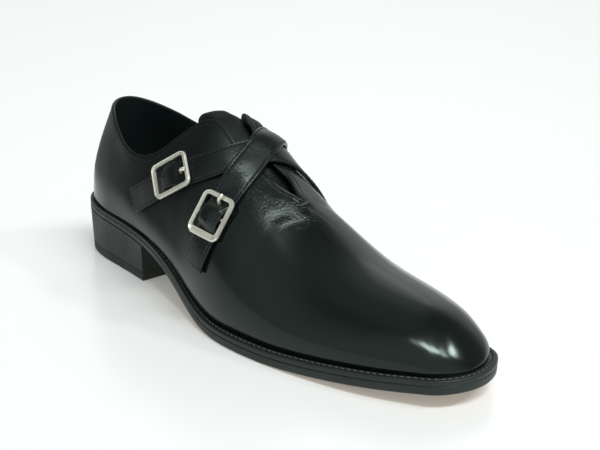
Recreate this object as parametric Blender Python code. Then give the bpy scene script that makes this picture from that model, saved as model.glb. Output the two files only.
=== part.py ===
"""Double monk strap shoe, right foot, empty and standing on its heel and forepart.

Axes: the toe points to -Y, the heel to +Y, the little-toe (lateral) side to -X and +Z is up.
Numbers are millimetres. A fraction f runs along the shoe from the heel (0) to the toe (1).
"""
import math

import bmesh
import bpy
import numpy as np
from mathutils import Vector
from mathutils.bvhtree import BVHTree
from mathutils.interpolate import poly_3d_calc

MM = 0.001
GAP = 0.3                    # clearance left between pieces that touch
SHIFT = 2.1                  # moves the shoe so that the middle of its box is at x = 0

# --- sole and heel ---------------------------------------------------------------------
LENGTH = 312.5               # outsole, heel to toe
HEEL_ROUND = 0.14            # fraction of the length over which the heel end rounds off
TOE_ROUND = 0.955            # fraction where the toe end starts to close
TOE_POWER = 2.26
BREAST = 0.275               # front face of the heel
HEEL_TAPER_BACK = 2.5        # how far the heel block draws in at the back
HEEL_TAPER_SIDE = 1.3
TOP_PIECE = 6.0              # rubber under the heel block
OUTSOLE_PART = 0.60          # share of the edge thickness that is outsole, the rest is welt
INSOLE_THICK = 2.4

# f, half width on the lateral side, half width on the medial side
OUTLINE = (
    (0.00, 30.5, 31.0),
    (0.04, 29.8, 33.0),
    (0.10, 29.4, 34.0),
    (0.18, 31.0, 34.0),
    (0.28, 34.3, 29.7),
    (0.38, 39.9, 27.3),
    (0.48, 48.3, 31.2),
    (0.58, 54.3, 39.0),
    (0.66, 53.8, 46.6),
    (0.74, 50.0, 50.4),
    (0.82, 44.0, 47.4),
    (0.90, 34.7, 37.5),
    (0.96, 25.0, 27.0),
    (1.00, 19.0, 21.0),
)
# f, height of the outsole's underside, thickness of the edge (outsole and welt together)
UNDERSIDE = (
    (0.000, 29.3, 5.4),
    (0.120, 27.3, 5.5),
    (0.225, 25.3, 5.8),
    (0.320, 20.7, 6.5),
    (0.420, 10.7, 7.2),
    (0.520, 1.3, 7.4),
    (0.600, -0.1, 7.6),
    (0.680, 0.0, 7.6),
    (0.760, 1.5, 7.6),
    (0.850, 4.1, 7.6),
    (0.930, 6.5, 7.6),
    (1.000, 8.8, 7.6),
)

# --- upper -----------------------------------------------------------------------------
WALL = 2.0
SLIT_END = 0.62              # the throat closes here
BELLY = 0.45                 # height of the fullest point, as a share of the section
HEEL_LEAN = (-5.9, -0.9, 14.7)   # back line: at the feather, at a third, at the collar
# f, top line or ridge height, ridge offset, lateral belly, medial belly,
# lateral roundness, medial roundness, drop of the upper handle
UPPER = (
    (0.00, 99.3, 0.0, 4.9, 5.0, 1.10, 1.10, 0.35),
    (0.10, 93.5, 0.0, 4.9, 5.0, 1.10, 1.09, 0.35),
    (0.20, 81.3, 0.0, 4.0, 4.0, 1.05, 1.05, 0.35),
    (0.30, 81.4, 0.0, 6.0, 4.0, 1.00, 1.00, 0.35),
    (0.36, 95.7, -2.0, 8.0, 5.0, 0.90, 0.97, 0.30),
    (0.42, 106.7, -5.5, 10.0, 6.0, 0.80, 1.02, 0.20),
    (0.50, 91.7, -8.8, 10.0, 6.0, 0.60, 0.93, 0.04),
    (0.58, 77.8, -8.2, 9.0, 5.0, 0.55, 0.80, 0.00),
    (0.66, 63.6, -4.2, 8.0, 5.0, 0.50, 0.65, 0.00),
    (0.74, 51.0, -1.6, 7.0, 5.0, 0.50, 0.52, 0.00),
    (0.82, 44.8, -0.4, 6.0, 5.0, 0.50, 0.50, 0.00),
    (0.90, 40.1, 0.0, 5.0, 5.0, 0.50, 0.52, 0.00),
    (0.96, 33.8, 0.0, 4.0, 4.0, 0.55, 0.55, 0.00),
    (1.00, 27.1, 0.0, 3.0, 3.0, 0.60, 0.60, 0.00),
)
# f, half opening to the lateral side, half opening to the medial side, extra medial height
OPENING = (
    (0.00, 20.8, 21.0, 0.0),
    (0.10, 25.2, 24.4, -2.3),
    (0.20, 32.9, 26.5, 4.1),
    (0.30, 31.5, 27.0, 3.8),
    (0.36, 22.7, 23.5, 1.2),
    (0.42, 11.8, 12.5, 0.8),
    (0.47, 7.0, 7.0, 3.4),
    (0.53, 4.0, 4.6, 2.6),
    (0.58, 2.2, 3.2, 1.4),
    (0.62, 0.0, 0.0, 0.0),
)

BRIDGE_PULL = 0.45           # how far the skin over the throat keeps the sides' slope

# --- straps, buckles and tongue ---------------------------------------------------------
STRAP_WIDTH = 16.0
STRAP_THICK = 2.0
# x, y, z near the upper; each strap runs from its seam on the medial side to its free end
FRONT_STRAP = (
    (33.0, 27.0, 62.0),
    (28.5, 20.0, 78.0),
    (20.0, 12.0, 90.5),
    (9.5, 4.5, 97.5),
    (-1.0, -1.5, 97.0),
    (-9.0, -5.0, 95.0),
    (-19.0, -7.3, 89.0),
    (-27.0, -8.5, 83.5),
    (-37.0, -8.5, 75.0),
    (-44.7, -7.0, 66.0),
    (-49.0, -4.0, 52.0),
    (-52.2, 0.6, 35.2),
)
REAR_STRAP = (
    (44.0, -15.0, 42.0),
    (36.5, -15.0, 58.0),
    (26.0, -12.3, 73.0),
    (13.5, -7.6, 86.0),
    (2.0, -5.6, 92.0),
    (-6.0, -4.6, 94.5),
    (-14.0, -2.5, 94.5),
    (-28.2, 4.6, 90.0),
    (-37.0, 16.3, 84.0),
    (-40.9, 32.4, 77.0),
    (-40.0, 52.0, 65.0),
    (-37.2, 75.0, 51.0),
)
SEAT = 0.5                   # strap over the upper
# where the centre bar lies, length of the frame along the strap, lift of its far end
FRONT_BUCKLE = ((-45.0, -6.8, 65.0), 24.6, 0.0)
REAR_BUCKLE = ((-41.0, 33.6, 76.6), 28.4, 2.2)
BUCKLE_WIDE = 22.0           # across the strap
BUCKLE_BAR = 2.5             # width of the frame's bars
BUCKLE_THICK = 1.7
BUCKLE_CORNER = 4.2
CENTRE_BAR = 1.5
PRONG_WIDE = 1.8
PRONG_THICK = 1.3
CHAPE_SEAT = 0.45            # height of the chape over the skin
CHAPE_THICK = 0.9
CHAPE_WIDE = 12.0
REAR_STRAP_ARCH = 2.5        # how far the rear strap stands off over the throat
TONGUE_THICK = 3.0
TONGUE_GAP = 1.1              # from the upper's inside to the tongue
# f, half width of the tongue along the upper's inside
TONGUE_ROWS = (
    (0.700, 13.0),
    (0.660, 15.5),
    (0.600, 17.5),
    (0.540, 18.5),
    (0.480, 19.0),
    (0.425, 19.0),
)
# beyond the last row: distance back, distance up, width and sag against that row
TONGUE_TOP = (
    (5.0, 1.7, 0.84, 0.92),
    (10.3, 2.4, 0.90, 0.74),
    (15.3, 1.9, 0.92, 0.62),
)


def column(table, k):
    return np.array([row[k] for row in table], float)


def spline(table, k, at):
    """Natural cubic through column k of a table whose first column is f."""
    xs = column(table, 0)
    ys = column(table, k)
    h = np.diff(xs)
    n = len(xs)
    a = np.eye(n)
    r = np.zeros(n)
    for i in range(1, n - 1):
        a[i, i - 1] = h[i - 1]
        a[i, i] = 2 * (h[i - 1] + h[i])
        a[i, i + 1] = h[i]
        r[i] = 6 * ((ys[i + 1] - ys[i]) / h[i] - (ys[i] - ys[i - 1]) / h[i - 1])
    m = np.linalg.solve(a, r)
    at = np.asarray(at, float)
    i = np.clip(np.searchsorted(xs, at) - 1, 0, n - 2)
    u = at - xs[i]
    w = xs[i + 1] - at
    cubic = (m[i] * w ** 3 + m[i + 1] * u ** 3) / (6 * h[i])
    return cubic + (ys[i] / h[i] - m[i] * h[i] / 6) * w + (ys[i + 1] / h[i] - m[i + 1] * h[i] / 6) * u


def closing(f):
    """Factor that rounds a half width off to nothing at both ends."""
    f = np.asarray(f, float)
    heel = np.sqrt(np.clip(1 - np.clip(1 - f / HEEL_ROUND, 0, 1) ** 2, 0, 1))
    toe = np.clip((f - TOE_ROUND) / (1 - TOE_ROUND), 0, 1) ** TOE_POWER
    return heel * np.sqrt(1 - toe)


def underside(f):
    return np.maximum(spline(UNDERSIDE, 1, f), 0)


def edge_thickness(f):
    return spline(UNDERSIDE, 2, f)


def welt_width(f):
    """Distance from the sole's edge to the upper's lower line."""
    return np.interp(f, (0, 0.2, 0.3, 0.45, 0.6, 1), (1.0, 1.5, 1.5, 2.5, 4.0, 4.5))


FEATHER_BACK = 3.0           # the upper starts this far inside the heel end
FEATHER_FRONT = 4.5          # and stops this far inside the toe end


def to_xyz(x, s, z):
    """Point from offset, distance from the heel end, and height."""
    return np.stack(np.broadcast_arrays(x, LENGTH / 2 - s, z), -1)


def sections(f, side, levels):
    """Outer skin of the upper. side is -1 (lateral) or 1 (medial); levels run from the
    feather (0) to the top line or ridge (1). Returns an array (len(f), len(levels), 3)."""
    s = FEATHER_BACK + f * (LENGTH - FEATHER_BACK - FEATHER_FRONT)
    fs = s / LENGTH
    end = closing(f)
    wide = (spline(OUTLINE, 1 if side < 0 else 2, fs) - welt_width(fs)) * end
    foot = underside(fs) + edge_thickness(fs) + GAP
    opening = f < SLIT_END
    fo = np.minimum(f, SLIT_END)
    half = np.where(opening, spline(OPENING, 1 if side < 0 else 2, fo), 0)
    rise = np.where(opening & (side > 0), spline(OPENING, 3, fo), 0)
    nose = np.sqrt(1 - (np.clip(f - 0.9, 0, 1) / 0.1) ** 2.2)
    high = (spline(UPPER, 1, f) - foot) * nose + rise
    top_x = (spline(UPPER, 2, f) + side * half) * end
    belly = spline(UPPER, 3 if side < 0 else 4, f) * end
    rnd = spline(UPPER, 5 if side < 0 else 6, f)
    drop = np.maximum(spline(UPPER, 7, f), 0)
    xs = (side * wide, side * (wide + belly), top_x + rnd * (side * wide - top_x), top_x)
    zs = (foot, foot + BELLY * high, foot + high * (1 - drop), foot + high)
    t = np.asarray(levels, float)[None]
    weights = ((1 - t) ** 3, 3 * t * (1 - t) ** 2, 3 * t ** 2 * (1 - t), t ** 3)
    x = sum(p[:, None] * q for p, q in zip(xs, weights))
    z = sum(p[:, None] * q for p, q in zip(zs, weights))
    up = np.clip((z - foot[:, None]) / 65, 0, 1.3)
    back = np.interp(up, (0, 0.35, 1.0, 1.3), HEEL_LEAN + (HEEL_LEAN[2] + 3,))
    fade = np.clip(1 - f / 0.35, 0, 1)[:, None] ** 1.5
    return to_xyz(x, s[:, None] + (back - HEEL_LEAN[0]) * fade, z)


# === build =============================================================================
MATERIALS = {
    "upper_leather": ((0.012, 0.013, 0.014), 0.0, 0.28),
    "sole_leather": ((0.30, 0.13, 0.06), 0.0, 0.55),
    "edge_leather": ((0.014, 0.015, 0.016), 0.0, 0.40),
    "heel_rubber": ((0.02, 0.02, 0.02), 0.0, 0.75),
    "lining_leather": ((0.02, 0.021, 0.022), 0.0, 0.55),
    "buckle_metal": ((0.72, 0.71, 0.66), 1.0, 0.25),
}


def material(name):
    made = bpy.data.materials.get(name)
    if made:
        return made
    colour, metal, rough = MATERIALS[name]
    made = bpy.data.materials.new(name)
    made.use_nodes = True
    shader = made.node_tree.nodes["Principled BSDF"]
    shader.inputs["Base Color"].default_value = colour + (1.0,)
    shader.inputs["Metallic"].default_value = metal
    shader.inputs["Roughness"].default_value = rough
    return made


def add_object(name, points, faces, slot):
    """Mesh object from millimetre points; loose doubles merge and normals turn outwards."""
    mesh = bpy.data.meshes.new(name)
    mesh.from_pydata([tuple(p) for p in np.asarray(points) * MM], [], faces)
    bm = bmesh.new()
    bm.from_mesh(mesh)
    bmesh.ops.remove_doubles(bm, verts=bm.verts, dist=0.00001)
    bmesh.ops.dissolve_degenerate(bm, edges=bm.edges, dist=0.000001)
    bmesh.ops.recalc_face_normals(bm, faces=bm.faces)
    bm.to_mesh(mesh)
    bm.free()
    ob = bpy.data.objects.new(name, mesh)
    ob.location.x = SHIFT * MM
    ob.data.materials.append(material(slot))
    SHOE.objects.link(ob)
    return ob


def grid_faces(rows, cols, start=0, wrap=False):
    """Quads over a grid of rows x cols points; wrap closes it along the columns."""
    faces = []
    for i in range(rows - 1):
        for j in range(cols if wrap else cols - 1):
            k = (j + 1) % cols
            a = start + i * cols
            faces.append((a + j, a + k, a + cols + k, a + cols + j))
    return faces


def stations(first, last, count, ends=0.6):
    """Fractions from first to last, closer together at both ends."""
    u = np.linspace(0, 1, count)
    u = ends * (1 - np.cos(math.pi * u)) / 2 + (1 - ends) * u
    return first + (last - first) * u


def plate(name, slot, left_low, right_low, left_high, right_high):
    """Closed slab between a lower and an upper outline, each given as its two sides."""
    n = len(left_low)
    points = np.concatenate((left_low, right_low, right_high, left_high))
    faces = []
    for i in range(n - 1):
        ring = [i, n + i, 2 * n + i, 3 * n + i]
        for a, b in zip(ring, ring[1:] + ring[:1]):
            faces.append((a, b, b + 1, a + 1))
    faces.append((0, n, 2 * n, 3 * n))
    faces.append((n - 1, 2 * n - 1, 3 * n - 1, 4 * n - 1))
    return add_object(name, points, faces, slot)


def outline_sides(f, inset_side=0.0, s=None, height=None):
    """Both sides of the sole's outline at fractions f, drawn in and set at a height."""
    s = f * LENGTH if s is None else s
    end = closing(f)
    sides = []
    for side, k in ((-1, 1), (1, 2)):
        x = side * (spline(OUTLINE, k, f) - inset_side) * end
        sides.append(to_xyz(x, s, height))
    return sides


def make_sole():
    f = stations(0, 1, 61)
    under = underside(f)
    thick = edge_thickness(f)
    low = outline_sides(f, height=under)
    high = outline_sides(f, height=under + OUTSOLE_PART * thick)
    plate("outsole", "sole_leather", *low, *high)
    low = outline_sides(f, height=under + OUTSOLE_PART * thick + GAP)
    high = outline_sides(f, height=under + thick)
    plate("welt", "edge_leather", *low, *high)
    s0 = FEATHER_BACK + WALL + 0.9
    s1 = LENGTH - FEATHER_FRONT - WALL - 2.0
    g = stations(0, 1, 49)
    s = s0 + g * (s1 - s0)
    fs = s / LENGTH
    seat = underside(fs) + edge_thickness(fs) + GAP
    inner = welt_width(fs) + WALL + 0.7
    low = []
    for side, k in ((-1, 1), (1, 2)):
        x = side * (spline(OUTLINE, k, fs) - inner) * closing(g)
        low.append(to_xyz(x, s, seat))
    high = [p + np.array((0, 0, INSOLE_THICK)) for p in low]
    plate("insole", "lining_leather", *low, *high)


def make_heel():
    f = stations(0, BREAST, 25, 0.0)
    f = BREAST * (f / BREAST) ** 1.7
    top = underside(f) - GAP

    def level(height):
        share = 1 - height / top
        s = f * LENGTH + share * HEEL_TAPER_BACK * (1 - f / BREAST)
        return outline_sides(f, share * HEEL_TAPER_SIDE, s, height)

    plate("heel_top_piece", "heel_rubber", *level(np.zeros_like(f)), *level(np.full_like(f, TOP_PIECE)))
    plate("heel_stack", "edge_leather", *level(np.full_like(f, TOP_PIECE + GAP)), *level(top))


def upper_stations():
    f = stations(0, 1, 55, 0.55)
    f[np.argmin(abs(f - SLIT_END))] = SLIT_END
    return f


def upper_skin(f, levels):
    """Outer skin of the upper as one open mesh: lateral and medial halves."""
    points = []
    faces = []
    for side in (-1, 1):
        grid = sections(f, side, levels)
        faces += grid_faces(len(f), len(levels), len(points))
        points += list(grid.reshape(-1, 3))
    return points, faces


def make_upper():
    """Hollow upper: the outer skin, the same skin a wall thickness inside, and the edges
    that join them around the collar, the throat and the open underside."""
    points, faces = upper_skin(upper_stations(), np.linspace(0, 1, 12))
    bm = bmesh.new()
    made = [bm.verts.new(p) for p in points]
    for face in faces:
        bm.faces.new([made[k] for k in face])
    bmesh.ops.remove_doubles(bm, verts=bm.verts, dist=0.02)
    bmesh.ops.dissolve_degenerate(bm, edges=bm.edges, dist=0.001)
    bmesh.ops.recalc_face_normals(bm, faces=bm.faces)
    bm.verts.ensure_lookup_table()
    bm.verts.index_update()
    bm.normal_update()
    outer = [v.co.copy() for v in bm.verts]
    normals = [v.normal.copy() for v in bm.verts]
    middle = sum(outer, Vector()) / len(outer)
    if sum((p - middle).dot(n) for p, n in zip(outer, normals)) < 0:
        normals = [-n for n in normals]
    edge = {v.index for e in bm.edges if e.is_boundary for v in e.verts}
    inner = []
    for k, (p, n) in enumerate(zip(outer, normals)):
        f = 0.5 - p.y / LENGTH
        seat = float(underside(f) + edge_thickness(f)) + GAP
        if k in edge and p.z < seat + 1.5:
            n = Vector((n.x, n.y, 0)).normalized()
        q = p - WALL * n
        inner.append(q)
    skin = [tuple(v.index for v in face.verts) for face in bm.faces]
    count = len(outer)
    faces = skin + [tuple(k + count for k in reversed(face)) for face in skin]
    for e in bm.edges:
        if e.is_boundary:
            a, b = (v.index for v in e.verts)
            faces.append((a, b, b + count, a + count))
    bm.free()
    return add_object("upper", [tuple(p) for p in outer + inner], faces, "upper_leather")


def bridge(f, across):
    """Skin over the open throat, from the lateral edge to the medial edge."""
    left = sections(f, -1, (0.9, 1.0))
    right = sections(f, 1, (0.9, 1.0))
    a = left[:, 1]
    b = right[:, 1]
    pull = BRIDGE_PULL * np.linalg.norm(b - a, axis=1)[:, None]
    ta = left[:, 1] - left[:, 0]
    tb = right[:, 0] - right[:, 1]
    ta = pull * ta / np.linalg.norm(ta, axis=1)[:, None]
    tb = pull * tb / np.linalg.norm(tb, axis=1)[:, None]
    rows = []
    for t in across:
        rows.append((2 * t ** 3 - 3 * t ** 2 + 1) * a + (t ** 3 - 2 * t ** 2 + t) * ta
                    + (3 * t ** 2 - 2 * t ** 3) * b + (t ** 3 - t ** 2) * tb)
    return np.stack(rows, 1)


class Skin:
    """The upper's outer surface with the throat bridged over, which straps, buckles and
    tongue are laid on. Heights are measured outwards along its smooth normal."""

    def __init__(self):
        f = upper_stations()
        points, faces = upper_skin(f, np.linspace(0, 1, 12))
        open_part = f[(f >= 0.38) & (f <= SLIT_END)]
        over = bridge(open_part, np.linspace(0, 1, 7))
        faces += grid_faces(len(open_part), 7, len(points))
        points += list(over.reshape(-1, 3))
        bm = bmesh.new()
        made = [bm.verts.new(p) for p in points]
        for face in faces:
            bm.faces.new([made[k] for k in face])
        bmesh.ops.remove_doubles(bm, verts=bm.verts, dist=0.02)
        bmesh.ops.dissolve_degenerate(bm, edges=bm.edges, dist=0.001)
        bmesh.ops.triangulate(bm, faces=bm.faces)
        bmesh.ops.recalc_face_normals(bm, faces=bm.faces)
        bm.verts.index_update()
        bm.normal_update()
        self.points = [v.co.copy() for v in bm.verts]
        self.normals = [v.normal.copy() for v in bm.verts]
        middle = Vector((0, 0, 40))
        if sum((p - middle).dot(n) for p, n in zip(self.points, self.normals)) < 0:
            self.normals = [-n for n in self.normals]
        self.faces = [tuple(v.index for v in face.verts) for face in bm.faces]
        self.tree = BVHTree.FromPolygons(self.points, self.faces)
        bm.free()

    def normal(self, face, point):
        corners = self.faces[face]
        weights = poly_3d_calc([self.points[k] for k in corners], point)
        return sum((w * self.normals[k] for w, k in zip(weights, corners)), Vector()).normalized()

    def nearest(self, point):
        hit, _, face, _ = self.tree.find_nearest(Vector(point))
        return hit, self.normal(face, hit)

    def along(self, point, direction):
        hit, _, face, _ = self.tree.ray_cast(point + 15 * direction, -direction)
        if hit is None:
            return self.nearest(point)
        return hit, self.normal(face, hit)


class Route:
    """Centre line of a strap on the skin, through the rows of a table of points."""

    def __init__(self, skin, rows):
        self.skin = skin
        marks = np.array([tuple(skin.nearest(p)[0]) for p in rows])
        run = np.concatenate(([0], np.cumsum(np.linalg.norm(np.diff(marks, axis=0), axis=1))))
        table = [(r,) + tuple(p) for r, p in zip(run, marks)]
        fine = np.linspace(0, run[-1], 200)
        path = np.stack([spline(table, k, fine) for k in (1, 2, 3)], 1)
        path = np.array([tuple(skin.nearest(p)[0]) for p in path])
        step = np.linalg.norm(np.diff(path, axis=0), axis=1)
        self.run = np.concatenate(([0], np.cumsum(step)))
        self.path = path
        self.length = self.run[-1]

    def centre(self, a):
        return np.array([np.interp(a, self.run, self.path[:, k]) for k in range(3)])

    def place(self, a, c, height):
        """Point at distance a along the route, c across it and height above the skin."""
        middle = self.centre(a)
        ahead = Vector(self.centre(a + 2) - self.centre(a - 2)).normalized()
        if a < 2 or a > self.length - 2:
            inside = min(max(a, 2), self.length - 2)
            ahead = Vector(self.centre(inside + 2) - self.centre(inside - 2)).normalized()
            middle = self.centre(inside) + np.array(ahead) * (a - inside)
        _, up = self.skin.nearest(middle)
        side = ahead.cross(up).normalized()
        hit, normal = self.skin.along(Vector(middle) + float(c) * side, up)
        return np.array(hit + float(height) * normal)

    def across(self, point):
        """Distance along the route and distance off it of a point near it."""
        gaps = np.linalg.norm(self.path - np.array(point), axis=1)
        k = int(np.argmin(gaps))
        ahead = Vector(self.centre(self.run[k] + 2) - self.centre(self.run[k] - 2)).normalized()
        _, up = self.skin.nearest(self.path[k])
        side = ahead.cross(up).normalized()
        return self.run[k], Vector(np.array(point) - self.path[k]).dot(side)


def smooth(x):
    x = min(max(x, 0.0), 1.0)
    return x * x * (3 - 2 * x)


def buckle_rise(off_bar, long):
    """Height a strap gains over a buckle's centre bar, from its distance to the bar."""
    top = CHAPE_SEAT + CHAPE_THICK + GAP + CENTRE_BAR
    reach = long / 2 - BUCKLE_BAR - 1.4
    return top * smooth((reach - abs(off_bar)) / (reach - 3.5))


class Strap:
    """A strap with the height of its underside over the skin along its length."""

    def __init__(self, route, buckle, under=None):
        self.route = route
        self.bar = route.across(buckle[0])[0]
        self.long = buckle[1]
        self.lift = buckle[2]
        self.under = under

    def height(self, a, c):
        return self.rest(a, c) + buckle_rise(a - self.bar, self.long)

    def rest(self, a, c):
        """Height of the strap where no buckle bar lies under it."""
        if self.under is None:
            crown = self.route.across((3.0, -6.0, 92.0))[0]
            return SEAT + REAR_STRAP_ARCH * smooth(1 - abs(a - crown) / 24) * smooth((c + 14) / 20)
        point = self.route.place(a, c, 0)
        b, off = self.under.route.across(point)
        half = STRAP_WIDTH / 2
        top = self.under.height(b, min(max(off, -half), half)) + STRAP_THICK + GAP
        return SEAT + top * smooth(1 - (abs(off) - half - 1.6) / 6)

    def solid(self, name, cuts):
        steps = int(self.route.length / 3.2) + 1
        along = np.linspace(0, self.route.length, steps)
        along = along[abs(along - self.bar) > self.long / 2 + 1]
        near = self.bar + np.linspace(-self.long / 2, self.long / 2, 19)
        along = np.sort(np.concatenate((along, near)))
        across = np.linspace(-STRAP_WIDTH / 2, STRAP_WIDTH / 2, 7)
        low = []
        high = []
        for a in along:
            for c in across:
                h = self.height(a, c)
                low.append(self.route.place(a, c, h))
                high.append(self.route.place(a, c, h + STRAP_THICK))
        n = len(along)
        m = len(across)
        faces = grid_faces(n, m) + [tuple(reversed(q)) for q in grid_faces(n, m, n * m)]
        rim = [j for j in range(m)] + [i * m + m - 1 for i in range(1, n)]
        rim += [(n - 1) * m + j for j in range(m - 2, -1, -1)] + [i * m for i in range(n - 2, 0, -1)]
        for p, q in zip(rim, rim[1:] + rim[:1]):
            faces.append((p, q, q + n * m, p + n * m))
        ob = add_object(name, low + high, faces, "upper_leather")
        for cut in cuts:
            hole = ob.modifiers.new("hole", "BOOLEAN")
            hole.operation = "DIFFERENCE"
            hole.object = cut
        return ob


def block(route, name, slot, spans):
    """Bar of rectangular section laid along a route: rows of a, low, high, half width."""
    points = []
    for a, low, high, half in spans:
        for c, h in ((-half, low), (half, low), (half, high), (-half, high)):
            points.append(route.place(a, c, h))
    faces = grid_faces(len(spans), 4, 0, True)
    faces.append((3, 2, 1, 0))
    last = 4 * (len(spans) - 1)
    faces.append((last, last + 1, last + 2, last + 3))
    return add_object(name, points, faces, slot)


def frame_loop(long, inset):
    """Rounded rectangle, as pairs along and across the strap."""
    half_a = long / 2 - inset
    half_c = BUCKLE_WIDE / 2 - inset
    r = BUCKLE_CORNER - inset
    loop = []
    for quarter, (sa, sc) in enumerate(((1, 1), (-1, 1), (-1, -1), (1, -1))):
        for k in range(5):
            angle = math.pi / 2 * (quarter + k / 4)
            loop.append((sa * (half_a - r) + r * math.cos(angle), sc * (half_c - r) + r * math.sin(angle)))
        a, c = loop[-1]
        turned = quarter % 2 == 0
        for k in (0.6, 0.2, -0.2, -0.6):
            loop.append((k * a, c) if turned else (a, k * c))
    return loop


def make_buckle(strap, tag):
    """Frame with its centre bar, the prong through the strap, and the leather that holds
    the bar. The strap runs under both ends of the frame and over the bar."""
    route = strap.route
    bar = strap.bar
    low = STRAP_THICK + GAP
    high = low + BUCKLE_THICK
    outer = frame_loop(strap.long, 0)
    inner = frame_loop(strap.long, BUCKLE_BAR)
    points = []
    for loop, h in ((outer, low), (inner, low), (inner, high), (outer, high)):
        for a, c in loop:
            tilt = strap.lift * max(a, 0) / (strap.long / 2)
            points.append(route.place(bar + a, c, h + tilt + strap.rest(bar + a, c)))
    n = len(outer)
    faces = []
    for ring in range(4):
        for k in range(n):
            nxt = (k + 1) % n
            other = (ring + 1) % 4
            faces.append((ring * n + k, ring * n + nxt, other * n + nxt, other * n + k))
    frame = add_object("buckle_frame_" + tag, points, faces, "buckle_metal")
    under = CHAPE_SEAT + CHAPE_THICK + GAP
    half = BUCKLE_WIDE / 2 - 1.2
    rows = []
    for c in np.linspace(-half, half, 9):
        lift = max(0, abs(c) - STRAP_WIDTH / 2 - 0.5) * 0.9
        for a, h in ((-0.9, under), (0.9, under), (0.9, under + CENTRE_BAR), (-0.9, under + CENTRE_BAR)):
            rows.append(route.place(bar + a, c, h + lift))
    faces = grid_faces(9, 4, 0, True) + [(3, 2, 1, 0), (32, 33, 34, 35)]
    cross = add_object("centre_bar_" + tag, rows, faces, "buckle_metal")
    SHOE.objects.unlink(cross)
    CUTTERS.objects.link(cross)
    cross.hide_render = True
    cross.display_type = "WIRE"
    join = frame.modifiers.new("bar", "BOOLEAN")
    join.operation = "UNION"
    join.object = cross
    mid = under + CENTRE_BAR / 2
    half = PRONG_WIDE / 2
    t = PRONG_THICK / 2
    top = SEAT + high + GAP + t
    end = strap.long / 2
    rows = ((-1.3, mid), (-3.5, 1.7), (7.8 - end, 1.4), (6.0 - end, 2.6), (4.6 - end, 4.6),
            (3.2 - end, top), (0.6 - end, top))
    block(route, "buckle_prong_" + tag, "buckle_metal",
          [(bar + a, h - t, h + t, half) for a, h in rows])
    rows = (-1.5, 0.0, 2.0, 4.2, 6.4)
    block(route, "buckle_chape_" + tag, "upper_leather",
          [(bar + a, CHAPE_SEAT, CHAPE_SEAT + CHAPE_THICK, CHAPE_WIDE / 2) for a in rows])


def prong_hole(strap, tag):
    end = strap.long / 2
    rows = [(strap.bar + a - end, -1.0, 9.0, PRONG_WIDE / 2 + 0.45) for a in (3.0, 5.4, 8.2)]
    cut = block(strap.route, "prong_slot_" + tag, "upper_leather", rows)
    SHOE.objects.unlink(cut)
    CUTTERS.objects.link(cut)
    cut.hide_render = True
    cut.display_type = "WIRE"
    return cut


def make_tongue(skin):
    """Tongue against the inside of the throat, standing a little above the top line."""
    share = np.linspace(-1, 1, 11)
    outer = []
    inner = []
    last = None
    for f, half in TONGUE_ROWS:
        fs = np.array([f])
        levels = np.linspace(0.3, 1, 40)
        left = sections(fs, -1, levels)[0]
        right = sections(fs, 1, levels)[0][::-1]
        line = np.concatenate((left, bridge(fs, np.linspace(0.1, 0.9, 9))[0], right))
        run = np.concatenate(([0], np.cumsum(np.linalg.norm(np.diff(line, axis=0), axis=1))))
        middle = run[44]
        pair = []
        for q in share:
            at = middle + q * half
            point = [np.interp(at, run, line[:, k]) for k in range(3)]
            hit, normal = skin.nearest(point)
            pair.append((np.array(hit - (WALL + TONGUE_GAP) * normal),
                         np.array(hit - (WALL + TONGUE_GAP + TONGUE_THICK) * normal)))
        last = pair
        outer += [p[0] for p in pair]
        inner += [p[1] for p in pair]
    crest = last[5][0]
    for back, up, width, sag in TONGUE_TOP:
        for p, q in last:
            for bank, point in ((outer, p), (inner, q)):
                off = (point - crest) * np.array((width, 1, sag))
                bank.append(crest + off + np.array((0, back, up)))
    n = len(TONGUE_ROWS) + len(TONGUE_TOP)
    m = len(share)
    faces = grid_faces(n, m) + [tuple(reversed(q)) for q in grid_faces(n, m, n * m)]
    rim = [j for j in range(m)] + [i * m + m - 1 for i in range(1, n)]
    rim += [(n - 1) * m + j for j in range(m - 2, -1, -1)] + [i * m for i in range(n - 2, 0, -1)]
    for p, q in zip(rim, rim[1:] + rim[:1]):
        faces.append((p, q, q + n * m, p + n * m))
    return add_object("tongue", outer + inner, faces, "upper_leather")


for item in list(bpy.data.objects):
    bpy.data.objects.remove(item, do_unlink=True)
SHOE = bpy.data.collections.new("monk_strap_shoe")
CUTTERS = bpy.data.collections.new("cutters")
bpy.context.scene.collection.children.link(SHOE)
bpy.context.scene.collection.children.link(CUTTERS)
make_sole()
make_heel()
make_upper()
SKIN = Skin()
REAR = Strap(Route(SKIN, REAR_STRAP), REAR_BUCKLE)
FRONT = Strap(Route(SKIN, FRONT_STRAP), FRONT_BUCKLE, REAR)
for STRAP, TAG in ((REAR, "rear"), (FRONT, "front")):
    STRAP.solid("strap_" + TAG, [prong_hole(STRAP, TAG)])
    make_buckle(STRAP, TAG)
make_tongue(SKIN)
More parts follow.
